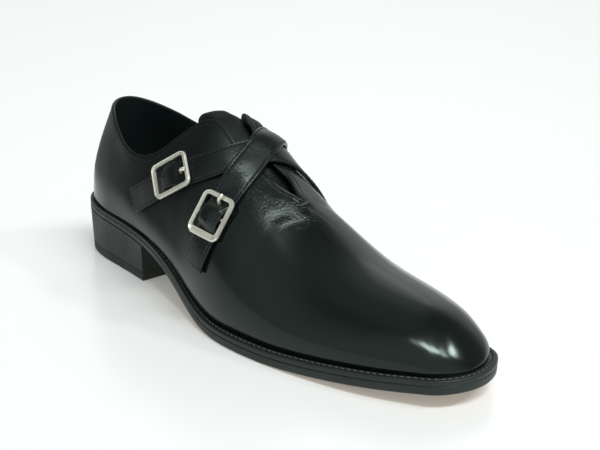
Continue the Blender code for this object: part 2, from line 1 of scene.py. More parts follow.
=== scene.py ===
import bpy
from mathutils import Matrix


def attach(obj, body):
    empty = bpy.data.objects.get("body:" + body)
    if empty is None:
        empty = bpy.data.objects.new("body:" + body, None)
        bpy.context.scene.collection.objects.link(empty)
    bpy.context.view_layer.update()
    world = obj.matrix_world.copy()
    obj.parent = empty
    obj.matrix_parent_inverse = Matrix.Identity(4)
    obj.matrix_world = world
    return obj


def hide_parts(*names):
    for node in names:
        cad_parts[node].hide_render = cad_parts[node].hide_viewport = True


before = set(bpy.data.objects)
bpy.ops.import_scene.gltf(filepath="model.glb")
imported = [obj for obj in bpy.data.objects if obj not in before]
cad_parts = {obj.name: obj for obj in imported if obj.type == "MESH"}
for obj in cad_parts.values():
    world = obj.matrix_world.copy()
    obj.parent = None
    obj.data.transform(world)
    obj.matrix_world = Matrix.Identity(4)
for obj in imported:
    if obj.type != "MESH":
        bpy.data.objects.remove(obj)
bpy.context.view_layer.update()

# Visual model of a crossed double monk strap shoe: a right shoe, empty, on its sole.
#
# Axes as in the CAD frame: toe to -Y, heel to +Y, lateral side to -X, medial side to +X,
# +Z up. Shapes are worked out in millimetres on the same last as the CAD solids. A fraction
# f runs along the shoe from the heel (0) to the toe (1). A level t runs up a cross section
# from the feather line (0) to the top line or the ridge (1). A side is -1 for lateral and 1
# for medial.

import math

import bmesh
import bpy
import numpy as np
from mathutils import Matrix, Vector
from mathutils.bvhtree import BVHTree
from mathutils.interpolate import poly_3d_calc

MM = 0.001
GAP = 0.3                    # clearance between pieces that touch
SHIFT = 2.1                  # moves the shoe so that the middle of its box is at x = 0
TINY = 1e-9
SIDES = (-1, 1)
MIDDLE = (0.0, 0.0, 40.0)    # a point inside the shoe, which outward normals point away from

# --- sole and heel ----------------------------------------
LENGTH = 312.5
HEEL_ROUND = 0.14            # the sole's outline is round up to here and again from TOE_ROUND
TOE_ROUND = 0.955
TOE_POWER = 2.26             # bluntness of the toe
BREAST = 0.275               # fraction at which the heel block ends
HEEL_TAPER_BACK = 2.5        # how far the heel block draws in towards the ground
HEEL_TAPER_SIDE = 1.3
HEEL_CROWD = 1.9             # how closely the points of its mesh crowd to the back
TOP_PIECE = 6.0
OUTSOLE_PART = 0.60          # share of the edge that is outsole; the rest is welt
INSOLE_THICK = 2.4
INSOLE_DISH = 0.7
INSOLE_GAPS = (0.9, 0.7, 2.0)  # to the wall at the heel, at the sides and at the toe
FEATHER_BACK = 3.0           # the upper's lower line stops this far inside the sole's ends
FEATHER_FRONT = 4.5
# f, half width on the lateral side, half width on the medial side
OUTLINE = (
    (0.00, 30.5, 31.0),
    (0.04, 29.8, 33.0),
    (0.10, 29.4, 34.0),
    (0.18, 31.0, 34.0),
    (0.28, 34.3, 29.7),
    (0.38, 39.9, 27.3),
    (0.48, 48.3, 31.2),
    (0.58, 54.3, 39.0),
    (0.66, 53.8, 46.6),
    (0.74, 50.0, 50.4),
    (0.82, 44.0, 47.4),
    (0.90, 34.7, 37.5),
    (0.96, 25.0, 27.0),
    (1.00, 19.0, 21.0),
)
# f, height of the outsole's underside, thickness of the edge (outsole and welt together)
UNDERSIDE = (
    (0.000, 29.3, 5.4),
    (0.120, 27.3, 5.5),
    (0.225, 25.3, 5.8),
    (0.320, 20.7, 6.5),
    (0.420, 10.7, 7.2),
    (0.520, 1.3, 7.4),
    (0.600, -0.1, 7.6),
    (0.680, 0.0, 7.6),
    (0.760, 1.5, 7.6),
    (0.850, 4.1, 7.6),
    (0.930, 6.5, 7.6),
    (1.000, 8.8, 7.6),
)
# f and the distance from the sole's edge to the upper's lower line
WELT_WIDTH = ((0, 0.2, 0.3, 0.45, 0.6, 1), (1.0, 1.5, 1.5, 2.5, 4.0, 4.5))
# profiles of the sole's edge, from the bottom to the top: inset, 0 where the next number is
# a height over the bottom or 1 where it is a depth under the top, that number
OUTSOLE_PROFILE = (
    (4.0, 0, 0), (0.9, 0, 0.0), (0.35, 0, 0.15), (0.08, 0, 0.5), (0.0, 0, 1.0),
    (0.0, 1, 0.7), (0.08, 1, 0.25), (0.30, 1, 0.05), (1.4, 1, 0), (4.0, 1, 0),
)
TREAD_STRIPS = 2             # first strips of the outsole's profile, which are bare leather
WELT_PROFILE = (
    (4.0, 0, 0), (1.2, 0, 0), (0.30, 0, 0.05), (0.08, 0, 0.25), (0.0, 0, 0.6), (0.0, 1, 0.9),
    (0.12, 1, 0.4), (0.42, 1, 0.1), (0.85, 1, 0.0), (1.25, 1, 0.02), (1.55, 1, 0.28),
    (1.9, 1, 0.36), (2.25, 1, 0.28), (2.55, 1, 0.02), (3.2, 1, 0.0), (6.5, 1, 0),
)
WELT_GAP = 0.06              # fine groove between outsole and welt
WELT_FROM = 0.29             # fraction at which the welt's stitches begin
# share of a lift's height and inset: each lift of the heel stack begins with a fine groove
LIFTS = 12
LIFT_PROFILE = ((0.0, 0.08), (0.12, 0.02), (0.3, 0.0), (0.8, 0.0), (0.92, 0.02))
TOP_PIECE_PROFILE = ((0.0, 0.5), (0.04, 0.2), (0.12, 0.0), (0.92, 0.0), (0.98, 0.08), (1.0, 0.25))

# --- stitches: pitch, length, radius, lift over the surface ---
UPPER_STITCH = (2.4, 1.8, 0.26, -0.22)
STRAP_STITCH = (2.5, 1.55, 0.30, 0.0)
TONGUE_STITCH = (2.5, 1.9, 0.26, 0.05)
WELT_STITCH = (3.3, 2.5, 0.52, 0.25)
WHEEL_MARK = (1.65, 1.2, 0.40, -0.12)
# share of the half length, height, share of the radius: the arch of every stitch
STITCH_ARCH = ((-1, -0.35, 0.5), (-0.6, 0.0, 0.9), (0, 0.12, 1.0), (0.6, 0.0, 0.9), (1, -0.35, 0.5))

# --- upper ------------------------------------------------
WALL = 2.0                   # thickness of the upper
SLIT_END = 0.62              # fraction at which the slit of the throat ends
BELLY = 0.45                 # share of the height at which the sides' lower handles lie
NOSE_FROM = 0.9              # fraction from which the upper's height falls to the toe
NOSE_POWER = 2.2
LEAN_HEIGHT = 65.0           # height over the sole that counts as level 1 of the lean
LEAN_LEVELS = (0, 0.35, 1.0, 1.3)
HEEL_LEAN = (-5.9, -0.9, 14.7, 17.7)  # how far the back leans in at these levels
LEAN_END = 0.35              # fraction at which the lean has faded out
BRIDGE_PULL = 0.45           # fullness of the skin over the open throat
BRIDGE_FROM = 0.38           # fraction from which straps and tongue lie over the throat
# f, top line or ridge height, ridge offset, lateral belly, medial belly,
# lateral roundness, medial roundness, drop of the upper handle
UPPER = (
    (0.00, 99.3, 0.0, 4.9, 5.0, 1.10, 1.10, 0.35),
    (0.10, 93.5, 0.0, 4.9, 5.0, 1.10, 1.09, 0.35),
    (0.20, 81.3, 0.0, 4.0, 4.0, 1.05, 1.05, 0.35),
    (0.30, 81.4, 0.0, 6.0, 4.0, 1.00, 1.00, 0.35),
    (0.36, 95.7, -2.0, 8.0, 5.0, 0.90, 0.97, 0.30),
    (0.42, 106.7, -5.5, 10.0, 6.0, 0.80, 1.02, 0.20),
    (0.50, 91.7, -8.8, 10.0, 6.0, 0.60, 0.93, 0.04),
    (0.58, 77.8, -8.2, 9.0, 5.0, 0.55, 0.80, 0.00),
    (0.66, 63.6, -4.2, 8.0, 5.0, 0.50, 0.65, 0.00),
    (0.74, 51.0, -1.6, 7.0, 5.0, 0.50, 0.52, 0.00),
    (0.82, 44.8, -0.4, 6.0, 5.0, 0.50, 0.50, 0.00),
    (0.90, 40.1, 0.0, 5.0, 5.0, 0.50, 0.52, 0.00),
    (0.96, 33.8, 0.0, 4.0, 4.0, 0.55, 0.55, 0.00),
    (1.00, 27.1, 0.0, 3.0, 3.0, 0.60, 0.60, 0.00),
)
# f, half opening to the lateral side, half opening to the medial side, extra medial height
OPENING = (
    (0.00, 20.8, 21.0, 0.0),
    (0.10, 25.2, 24.4, -2.3),
    (0.20, 32.9, 26.5, 4.1),
    (0.30, 31.5, 27.0, 3.8),
    (0.36, 22.7, 23.5, 1.2),
    (0.42, 11.8, 12.5, 0.8),
    (0.47, 7.0, 7.0, 3.4),
    (0.53, 4.0, 4.6, 2.6),
    (0.58, 2.2, 3.2, 1.4),
    (0.62, 0.0, 0.0, 0.0),
)
RIM_STITCH = 2.9             # stitch row below the top line; one of EDGE_STEPS
# distances below the top line at which the upper's mesh has its first columns
EDGE_STEPS = (0, 0.3, 0.6, 0.95, 1.3, 1.65, 2.0, 2.25, 2.5, 2.7, 2.9, 3.1, 3.3, 3.6, 4.0, 4.6, 5.4)
BODY_STEPS = 46
EDGE_ROLL = 7                # steps round the rolled edge
LIP = 0.8                    # how far the edge bulges against half the wall
LIP_SWELL = (1.2, 0.455, 0.022)  # more of it on the medial side: amount, f, half width
SLIT_CUT = (3.8, 0.567, 0.034)  # medial edge of the slit cut back: depth, f, half width
# soft folds by the end of the slit: f, level, f, level, side, half width, height
FOLDS = (
    (0.618, 1.00, 0.632, 1.00, -1, 8.5, 2.10),
    (0.618, 1.00, 0.632, 1.00, 1, 8.5, 2.10),
    (0.628, 0.90, 0.642, 0.94, -1, 4.5, 0.55),
    (0.600, 0.92, 0.604, 0.92, -1, 3.2, 0.30),
    (0.598, 0.76, 0.612, 0.88, -1, 1.2, 0.20),
    (0.612, 0.74, 0.628, 0.86, -1, 1.3, -0.22),
    (0.626, 0.75, 0.640, 0.87, -1, 1.2, 0.22),
    (0.638, 0.78, 0.650, 0.90, -1, 1.1, -0.20),
    (0.646, 0.82, 0.660, 0.94, -1, 1.2, 0.20),
    (0.634, 0.99, 0.690, 0.93, -1, 1.4, 0.18),
    (0.630, 0.98, 0.680, 0.90, 1, 1.4, -0.16),
    (0.520, 0.98, 0.568, 0.66, 1, 3.0, -1.00),
    (0.552, 0.94, 0.594, 0.70, 1, 4.5, 0.30),
)
# medial swells by the throat: f, its half width, level, its half width, height
SWELLS = ((0.452, 0.022, 0.90, 0.07, 1.9), (0.412, 0.014, 1.0, 0.05, -0.9))
FOLD_SCALE = (300.0, 90.0)   # millimetres that one unit of f and of level stand for in a fold
# shoulder that bounds the flat top of the toe: where it grows in and fades out as f and a
# length in f, its level and how much that rises further on, then height, place down the
# side and half width of its swells
TOE_EDGE_FROM = (0.84, 0.07)
TOE_EDGE_TO = (1.0, 0.05)
TOE_EDGE_LEVEL = (0.50, 0.06, 0.93)
TOE_EDGE = ((0.126, 0.0, 5.5), (-0.049, 12.0, 8.0))
TOE_EDGE_MEDIAL = 0.35       # share of it on the medial side
TOE_GIRTH = 62.0             # millimetres that one unit of level stands for there
RIM_SWELL = (0.30, 1.2, 1.1)  # along the top line: height, distance from it, half width
RIM_TRENCH = (-0.32, RIM_STITCH, 0.34)

# --- straps, buckles and tongue ---------------------------
STRAP_HALF = 8.0             # half the width
STRAP_THICK = 2.0
STRAP_CROWN = 0.30           # height of the middle of a strap's face over its edges
STRAP_CORNER = 1.6           # rounding of the corners at its ends
STRAP_THIN = (0.7, 0.25)     # length over which its ends thin out, share that is left there
STRAP_TRENCH = (0.34, 0.33)  # depth and half width of the trench that a stitch row lies in
STRAP_HELD = (0.30, 0.17, 1.1)  # in a buckle: reach in its lengths, share it narrows, its rise
STRAP_SEAM = 1.7             # stitch rows in from the edge, and from the middle
STRAP_ROW = STRAP_HALF - STRAP_SEAM
STRAP_STEP = 0.75            # spacing of its mesh's rows
SLANT_LENGTH = 30.0          # last stretch of a strap, over which its slant grows
HOLE = 1.05                  # radius of a strap's holes
HOLE_DEPTH = 1.3             # their depth, and half the length that their mesh takes
HOLE_EDGE = 0.35             # width of their sloping edge
REAR_HOLES = (2.0, -19.5)    # places along the straps from their buckle's centre bar
FRONT_HOLES = (2.5, 17.0)
# x, y, z near the upper; each strap runs from its seam on the medial side to its free end
FRONT_STRAP = (
    (33.0, 27.0, 62.0),
    (28.5, 20.0, 78.0),
    (20.0, 12.0, 90.5),
    (9.5, 4.5, 97.5),
    (-1.0, -1.5, 97.0),
    (-9.0, -5.0, 95.0),
    (-19.0, -7.3, 89.0),
    (-27.0, -8.5, 83.5),
    (-37.0, -8.5, 75.0),
    (-44.7, -7.0, 66.0),
    (-49.0, -4.0, 52.0),
    (-52.2, 0.6, 35.2),
)
REAR_STRAP = (
    (44.0, -15.0, 42.0),
    (36.5, -15.0, 58.0),
    (26.0, -12.3, 73.0),
    (13.5, -7.6, 86.0),
    (2.0, -5.6, 92.0),
    (-6.0, -4.6, 94.5),
    (-14.0, -2.5, 94.5),
    (-28.2, 4.6, 90.0),
    (-37.0, 16.3, 84.0),
    (-40.9, 32.4, 77.0),
    (-40.0, 52.0, 65.0),
    (-37.2, 75.0, 51.0),
)
RAY = 15.0                   # height from which places off the route are dropped on the skin
SEAT = 0.5                   # height of a strap's underside over the skin
CROSSING = (3.0, -6.0, 92.0)  # where the straps cross
# the rear strap's arch where they cross: height, reach along; place across from which it
# grows, and width over which it does
REAR_STRAP_ARCH = (1.6, 24.0, -14.0, 20.0)
# evening out of the straps: its reach, the lift it gives, the distance from the bar from
# which it acts and over which it grows, and the same for where it ends beyond the bar
EVEN_REACH = 6.5
EVEN_LIFT = 0.35
EVEN_FROM = (13.0, 12.0)
EVEN_TO = (40.0, 10.0)
OVER_SLOPE = 9.0             # the front strap comes down over this width beside the rear one
REAR_SLANT = 0.14            # the rear strap's end lies at a slight slant
# creases over the centre bar: distance from it, slope across, half width, height
WRINKLES = ((-8.0, 0.15, 0.9, -0.25), (-6.0, 0.1, 1.0, 0.15), (5.5, -0.1, 0.9, -0.15))
WRINKLE_HALF = 9.0           # how far across they reach
# where the centre bar lies, length of the frame along the strap, lift of its far end
FRONT_BUCKLE = ((-45.0, -6.8, 65.0), 25.4, 0.0)
REAR_BUCKLE = ((-41.0, 33.6, 76.6), 30.2, 2.2)
# extra width of the far end's bar, slant of the ends and of the sides, place off centre
FRONT_FRAME = (0.6, 0.084, 0.050, 1.0)
REAR_FRAME = (0.35, 0.30, 0.09, 0.8)
BUCKLE_WIDE = 22.0
BUCKLE_BAR = 2.5
BUCKLE_THICK = 1.7
BUCKLE_CORNER = 4.2
BUCKLE_EDGE = 0.42           # radius of the curves in the bars' cross section
CENTRE_BAR = 1.5
BAR_HALF = BUCKLE_WIDE / 2 - 2.4
BAR_FLAT = 5.5               # from here the centre bar's ends sink by BAR_SINK per millimetre
BAR_SINK = 0.5
PRONG_WIDE = 1.8             # the prong, then the chape that holds the bar to the shoe
PRONG_THICK = 1.3
CHAPE_SEAT = 0.45
CHAPE_THICK = 0.9
BAR_UNDER = CHAPE_SEAT + CHAPE_THICK + GAP  # heights of the bar's and the frame's underside
FRAME_UNDER = STRAP_THICK + 0.35 + GAP
TONGUE_THICK = 3.0
TONGUE_GAP = 1.1
TONGUE_COLUMNS = 11          # points in each row that shapes it
TONGUE_SEAM = 2.1            # stitch row in from the tongue's edge
TONGUE_BEND_FROM = 3.5       # row from which the tongue's sides bend down
TONGUE_DROP_LATERAL = 3.4
TONGUE_SPREAD = 2.6          # the lateral side's way outwards
TONGUE_DROP_MEDIAL = 5.2
TONGUE_CORNERS = (0.95, 0.5)  # rows that the lateral and the medial top corner round off over
TONGUE_FLAT = 0.35           # share of its half width over which the top is straight
# columns of the grid: where the lateral bend ends, where the medial one starts, how many
# more it takes
TONGUE_BENDS = (32, 46, 34)
# f, half width of the tongue along the upper's inside
TONGUE_ROWS = (
    (0.700, 13.0),
    (0.660, 15.5),
    (0.600, 17.5),
    (0.540, 18.5),
    (0.480, 19.0),
    (0.425, 19.0),
)
# beyond the last row: distance back, distance up, width and sag against that row
TONGUE_TOP = (
    (5.0, 1.7, 0.84, 0.92),
    (10.3, 2.4, 0.90, 0.74),
    (15.3, 1.9, 0.92, 0.62),
)
TONGUE_GRID = (150, 90)
# how far its padding stands out, over what distance from the trench, how far down from the
# top, and over what distance it fades there
TONGUE_PUFF = (0.5, 4.0, 30.0, 14.0)
TONGUE_TRENCH = (0.7, 0.45)  # depth and half width of the stitched trench round it
TACK_AT = SLIT_END + 0.004
TACK_ACROSS = (0.88, -0.04, 0.35)

# --- finishes: places in metres ---------------------------
THROAT = (-0.004, -0.026, 0.084)  # the grain is most open within THROAT_NEAR of this point
THROAT_NEAR = 0.027
THROAT_FAR = 0.037
POLISH_FRONT = 0.000         # the gloss fades backwards from here to POLISH_BACK,
POLISH_BACK = 0.024
POLISH_TILT = (0.0, -0.2, 1.0)  # and upwards along this direction from LOW to HIGH,
POLISH_LOW = 0.020
POLISH_HIGH = 0.034
POLISH_HEEL = 0.080          # and comes back by half from HEEL to REAR
POLISH_REAR = 0.112
POLISH_REST = 0.5
SHINE_FULL = -0.052          # the toe is polished most, up to SHINE_FULL
SHINE_FROM = -0.034
SHINE = 0.72
WORN = (-0.012, -0.013, 0.091)  # middle of the place where the straps are worn duller
WORN_FULL = 0.003
WORN_REACH = 0.014
WORN_DULL = 0.80
GLOSS_TINT = (0.80, 1.0, 0.93)
DULL_SHARE = 0.4             # share of the gloss that is left on the dullest leather
EDGE_TINT = (0.82, 1.0, 0.94, 1.0)

# --- light ------------------------------------------------
# light from the room: even part, then lobes of direction, cosine where each starts, cosine
# where it is full, and its strength
ROOM_LIGHT = 0.16
ROOM_COLOUR = (0.975, 1.0, 0.985, 1.0)
SOFT_LIGHTS = (
    ((0.80, 0.60, 0.00), 0.58, 0.80, 0.39),
    ((0.60, 0.50, 0.62), 0.78, 0.99, 0.35),
    ((0.10, 0.30, 0.95), 0.85, 1.00, 0.20),
    ((-0.75, -0.66, 0.00), 0.00, 0.70, 0.53),
)
# lamps: direction, angular size in degrees, strength
LAMPS = (
    ("key_1", (-0.33, -0.26, 0.91), 11.0, 0.11),
    ("key_2", (-0.19, -0.38, 0.90), 12.0, 0.66),
    ("key_3", (-0.03, -0.475, 0.88), 12.0, 0.68),
    ("key_4", (0.14, -0.565, 0.81), 14.0, 0.44),
    ("spot", (0.40, -0.55, 0.73), 7.0, 0.40),
    ("fill", (0.60, 0.50, 0.62), 30.0, 0.08),
)
FLOOR_COLOURS = ((0.80, 0.82, 0.81), (0.82, 0.84, 0.83))
FLOOR_GLOW = (0.96, 1.0, 0.975, 1.0)
FLOOR_GLOW_STRENGTH = 0.165
FLOOR_RADIUS = 9.0
FLOOR_HEIGHT = -0.0002

# --- camera: direction and distance from the middle of the shoe ---
CAMERA_AZIMUTH = -43.16      # degrees from the toe's direction, towards the lateral side
CAMERA_ELEVATION = 19.47
CAMERA_DISTANCE = 570.0
CAMERA_TARGET = (SHIFT, 0.0, 40.0)
CAMERA_PAN = 2.10
CAMERA_TILT = 0.85
CAMERA_ROLL = 2.46
CAMERA_LENS = 59.88
CAMERA_SENSOR = 36.0
CAMERA_CLIP = (0.01, 50.0)


# === the last =============================================
def unit(v):
    """Vectors of length one, along the last axis."""
    return v / (np.linalg.norm(v, axis=-1, keepdims=True) + TINY)


def run_along(path):
    """Distance along a path at each of its points."""
    return np.concatenate(([0], np.cumsum(np.linalg.norm(np.diff(path, axis=0), axis=1))))


def at_run(at, run, path):
    """Points of a path, or values along it, at the distances at."""
    return np.stack([np.interp(at, run, column) for column in np.transpose(path)], -1)


def smooth(x):
    x = np.clip(x, 0.0, 1.0)
    return x * x * (3 - 2 * x)


def hump(x, middle, width):
    return np.exp(-((x - middle) / width) ** 2)


def stations(first, last, count, ends=0.6):
    """Fractions from first to last, closer together at both ends."""
    u = np.linspace(0, 1, count)
    u = ends * (1 - np.cos(math.pi * u)) / 2 + (1 - ends) * u
    return first + (last - first) * u


def cubic(xs, ys, at):
    """Natural cubic through ys at xs, read at the places at. ys may have columns."""
    xs = np.asarray(xs, float)
    ys = np.asarray(ys, float)
    at = np.asarray(at, float)
    h = np.diff(xs)
    n = len(xs)
    a = np.eye(n)
    r = np.zeros_like(ys)
    for i in range(1, n - 1):
        a[i, i - 1] = h[i - 1]
        a[i, i] = 2 * (h[i - 1] + h[i])
        a[i, i + 1] = h[i]
        r[i] = 6 * ((ys[i + 1] - ys[i]) / h[i] - (ys[i] - ys[i - 1]) / h[i - 1])
    m = np.linalg.solve(a, r)
    i = np.clip(np.searchsorted(xs, at) - 1, 0, n - 2)
    shape = at.shape + (1,) * (ys.ndim - 1)
    h = h[i].reshape(shape)
    u = (at - xs[i]).reshape(shape)
    w = (xs[i + 1] - at).reshape(shape)
    bent = (m[i] * w ** 3 + m[i + 1] * u ** 3) / (6 * h)
    return bent + (ys[i] / h - m[i] * h / 6) * w + (ys[i + 1] / h - m[i + 1] * h / 6) * u


def spline(table, k, at):
    """Natural cubic through column k of a table whose first column is f."""
    table = np.array(table, float)
    return cubic(table[:, 0], table[:, k], at)


def closing(f):
    """Factor that rounds a half width off to nothing at both ends."""
    f = np.asarray(f, float)
    heel = np.sqrt(np.clip(1 - np.clip(1 - f / HEEL_ROUND, 0, 1) ** 2, 0, 1))
    toe = np.clip((f - TOE_ROUND) / (1 - TOE_ROUND), 0, 1) ** TOE_POWER
    return heel * np.sqrt(1 - toe)


def underside(f):
    return np.maximum(spline(UNDERSIDE, 1, f), 0)


def edge_top(f):
    """Height of the welt's top."""
    return underside(f) + spline(UNDERSIDE, 2, f)


def half_width(side, f):
    """Half width of the sole before its ends are rounded off."""
    return spline(OUTLINE, 1 + (side > 0), f)


def welt_width(f):
    return np.interp(f, *WELT_WIDTH)


def to_xyz(x, s, z):
    """Point from offset, distance from the heel end, and height."""
    return np.stack(np.broadcast_arrays(x, LENGTH / 2 - s, z), -1)


def fraction(point):
    return 0.5 - point[1] / LENGTH


def sections(f, side, levels):
    """Outer skin of the upper at fractions f and levels: an array (f, level, 3)."""
    medial = int(side > 0)
    s = FEATHER_BACK + f * (LENGTH - FEATHER_BACK - FEATHER_FRONT)
    fs = s / LENGTH
    end = closing(f)
    wide = side * (half_width(side, fs) - welt_width(fs)) * end
    foot = edge_top(fs) + GAP
    opening = f < SLIT_END
    fo = np.minimum(f, SLIT_END)
    half = np.where(opening, spline(OPENING, 1 + medial, fo), 0)
    rise = np.where(opening & (side > 0), spline(OPENING, 3, fo), 0)
    nose = np.sqrt(1 - (np.clip(f - NOSE_FROM, 0, 1) / (1 - NOSE_FROM)) ** NOSE_POWER)
    high = (spline(UPPER, 1, f) - foot) * nose + rise
    top_x = (spline(UPPER, 2, f) + side * half) * end
    belly = side * spline(UPPER, 3 + medial, f) * end
    roundness = spline(UPPER, 5 + medial, f)
    drop = np.maximum(spline(UPPER, 7, f), 0)
    xs = (wide, wide + belly, top_x + roundness * (wide - top_x), top_x)
    zs = (foot, foot + BELLY * high, foot + high * (1 - drop), foot + high)
    t = np.asarray(levels, float)[None]
    weights = ((1 - t) ** 3, 3 * t * (1 - t) ** 2, 3 * t ** 2 * (1 - t), t ** 3)
    x = sum(p[:, None] * q for p, q in zip(xs, weights))
    z = sum(p[:, None] * q for p, q in zip(zs, weights))
    up = np.clip((z - foot[:, None]) / LEAN_HEIGHT, 0, LEAN_LEVELS[-1])
    lean = np.interp(up, LEAN_LEVELS, HEEL_LEAN) - HEEL_LEAN[0]
    fade = np.clip(1 - f / LEAN_END, 0, 1)[:, None] ** 1.5
    return to_xyz(x, s[:, None] + lean * fade, z)


def bridge(f, across):
    """Skin over the open throat, from the lateral edge to the medial edge."""
    left = sections(f, -1, (0.9, 1.0))
    right = sections(f, 1, (0.9, 1.0))
    a = left[:, 1]
    b = right[:, 1]
    pull = BRIDGE_PULL * np.linalg.norm(b - a, axis=1)[:, None]
    ta = pull * unit(a - left[:, 0])
    tb = pull * unit(right[:, 0] - b)
    rows = []
    for t in across:
        rows.append((2 * t ** 3 - 3 * t ** 2 + 1) * a + (t ** 3 - 2 * t ** 2 + t) * ta
                    + (3 * t ** 2 - 2 * t ** 3) * b + (t ** 3 - t ** 2) * tb)
    return np.stack(rows, 1)


def slit_stations(count, ends):
    """Fractions from heel to toe, one of them at the slit's end."""
    f = stations(0, 1, count, ends)
    f[np.argmin(abs(f - SLIT_END))] = SLIT_END
    return f


# === meshes ===============================================
def grid_faces(rows, cols, wrap=False):
    """Quads over a grid of rows x cols points; wrap closes it along the columns."""
    faces = []
    for i in range(rows - 1):
        for j in range(cols if wrap else cols - 1):
            k = (j + 1) % cols
            a = i * cols
            faces.append((a + j, a + k, a + cols + k, a + cols + j))
    return faces


def turned_out(points, normals, centre):
    """The normals, turned to point away from centre for the most part."""
    return normals * (1 if ((points - np.asarray(centre)) * normals).sum() >= 0 else -1)


def grid_normals(grid, centre):
    """Unit normals of a grid of points, away from centre."""
    across = np.cross(np.gradient(grid, axis=0), np.gradient(grid, axis=1))
    return turned_out(grid, unit(across), centre)


def add_piece(name, points, faces, finishes, slot, node=None, marks=None, sharp=50, merge=0.004):
    """Piece of the shoe from points in millimetres, in place of a CAD node if one is named.
    finishes are its materials, marks the material number of each face."""
    mesh = bpy.data.meshes.new(name)
    points = (np.asarray(points, float) + (SHIFT, 0, 0)) * MM
    mesh.from_pydata(points.tolist(), [], faces)
    if marks is not None:
        mesh.polygons.foreach_set("material_index", marks)
    bm = bmesh.new()
    bm.from_mesh(mesh)
    bmesh.ops.remove_doubles(bm, verts=bm.verts, dist=merge * MM)
    bmesh.ops.dissolve_degenerate(bm, edges=bm.edges, dist=0.001 * MM)
    bmesh.ops.recalc_face_normals(bm, faces=bm.faces)
    bm.to_mesh(mesh)
    bm.free()
    for finish in finishes:
        mesh.materials.append(finish)
    mesh.shade_smooth()
    mesh.set_sharp_from_angle(angle=math.radians(sharp))
    piece = bpy.data.objects.new(name, mesh)
    bpy.context.scene.collection.objects.link(piece)
    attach(piece, "root")
    if node:
        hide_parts(node)
    return piece


def joined(points, faces, merge, heights=(), triangles=False):
    """Bmesh with points within merge made one, and its points and outward normals as
    arrays. It carries each point's height."""
    bm = bmesh.new()
    layer = bm.verts.layers.float.new("height")
    made = [bm.verts.new(p) for p in points]
    for vert, high in zip(made, heights):
        vert[layer] = high
    for face in faces:
        bm.faces.new([made[k] for k in face])
    bmesh.ops.remove_doubles(bm, verts=bm.verts, dist=merge)
    bmesh.ops.dissolve_degenerate(bm, edges=bm.edges, dist=0.001)
    if triangles:
        bmesh.ops.triangulate(bm, faces=bm.faces)
    bmesh.ops.recalc_face_normals(bm, faces=bm.faces)
    bm.verts.index_update()
    bm.normal_update()
    co = np.array([v.co[:] for v in bm.verts])
    normals = np.array([v.normal[:] for v in bm.verts])
    return bm, co, turned_out(co, normals, MIDDLE)


def tube(path, radii, sides=14):
    """Closed tube along a path, with a radius for each of its points."""
    path = np.asarray(path, float)
    ahead = unit(np.gradient(path, axis=0))
    up = np.array((0.0, 0.0, 1.0)) if abs(ahead[0][2]) < 0.9 else np.array((1.0, 0.0, 0.0))
    points = []
    for p, d, r in zip(path, ahead, radii):
        side = unit(np.cross(d, up))
        up = np.cross(side, d)
        for k in range(sides):
            angle = 2 * math.pi * k / sides
            points.append(p + r * (math.cos(angle) * side + math.sin(angle) * up))
    faces = grid_faces(len(path), sides, True)
    last = sides * (len(path) - 1)
    faces += [tuple(range(sides)), tuple(range(last + sides - 1, last - 1, -1))]
    return points, faces


class Bundle:
    """Collects several shapes into one."""

    def __init__(self):
        self.points = []
        self.faces = []

    def add(self, points, faces):
        start = len(self.points)
        self.points += [tuple(p) for p in points]
        self.faces += [tuple(k + start for k in face) for face in faces]

    def add_grid(self, grid, turned=False):
        """turned lists the corners of each face the other way round."""
        faces = grid_faces(*grid.shape[:2])
        self.add(grid.reshape(-1, 3), [face[::-1] for face in faces] if turned else faces)

    def piece(self, name, finish, slot):
        return add_piece(name, self.points, self.faces, [finish], slot, sharp=80, merge=0.0001)


def sew(bundle, path, normals, stitch):
    """Row of stitches along a path on a surface: short arched threads whose ends dive in."""
    pitch, length, radius, lift = stitch
    run = run_along(path)
    count = max(int(run[-1] / pitch), 1)
    radii = [radius * share for _, _, share in STITCH_ARCH]
    for k in range(count):
        middle = (k + 0.5) * run[-1] / count
        rings = []
        for u, high, _ in STITCH_ARCH:
            at = np.clip(middle + u * length / 2, 0, run[-1])
            rings.append(at_run(at, run, path) + unit(at_run(at, run, normals)) * (lift + high))
        bundle.add(*tube(rings, radii, 6))


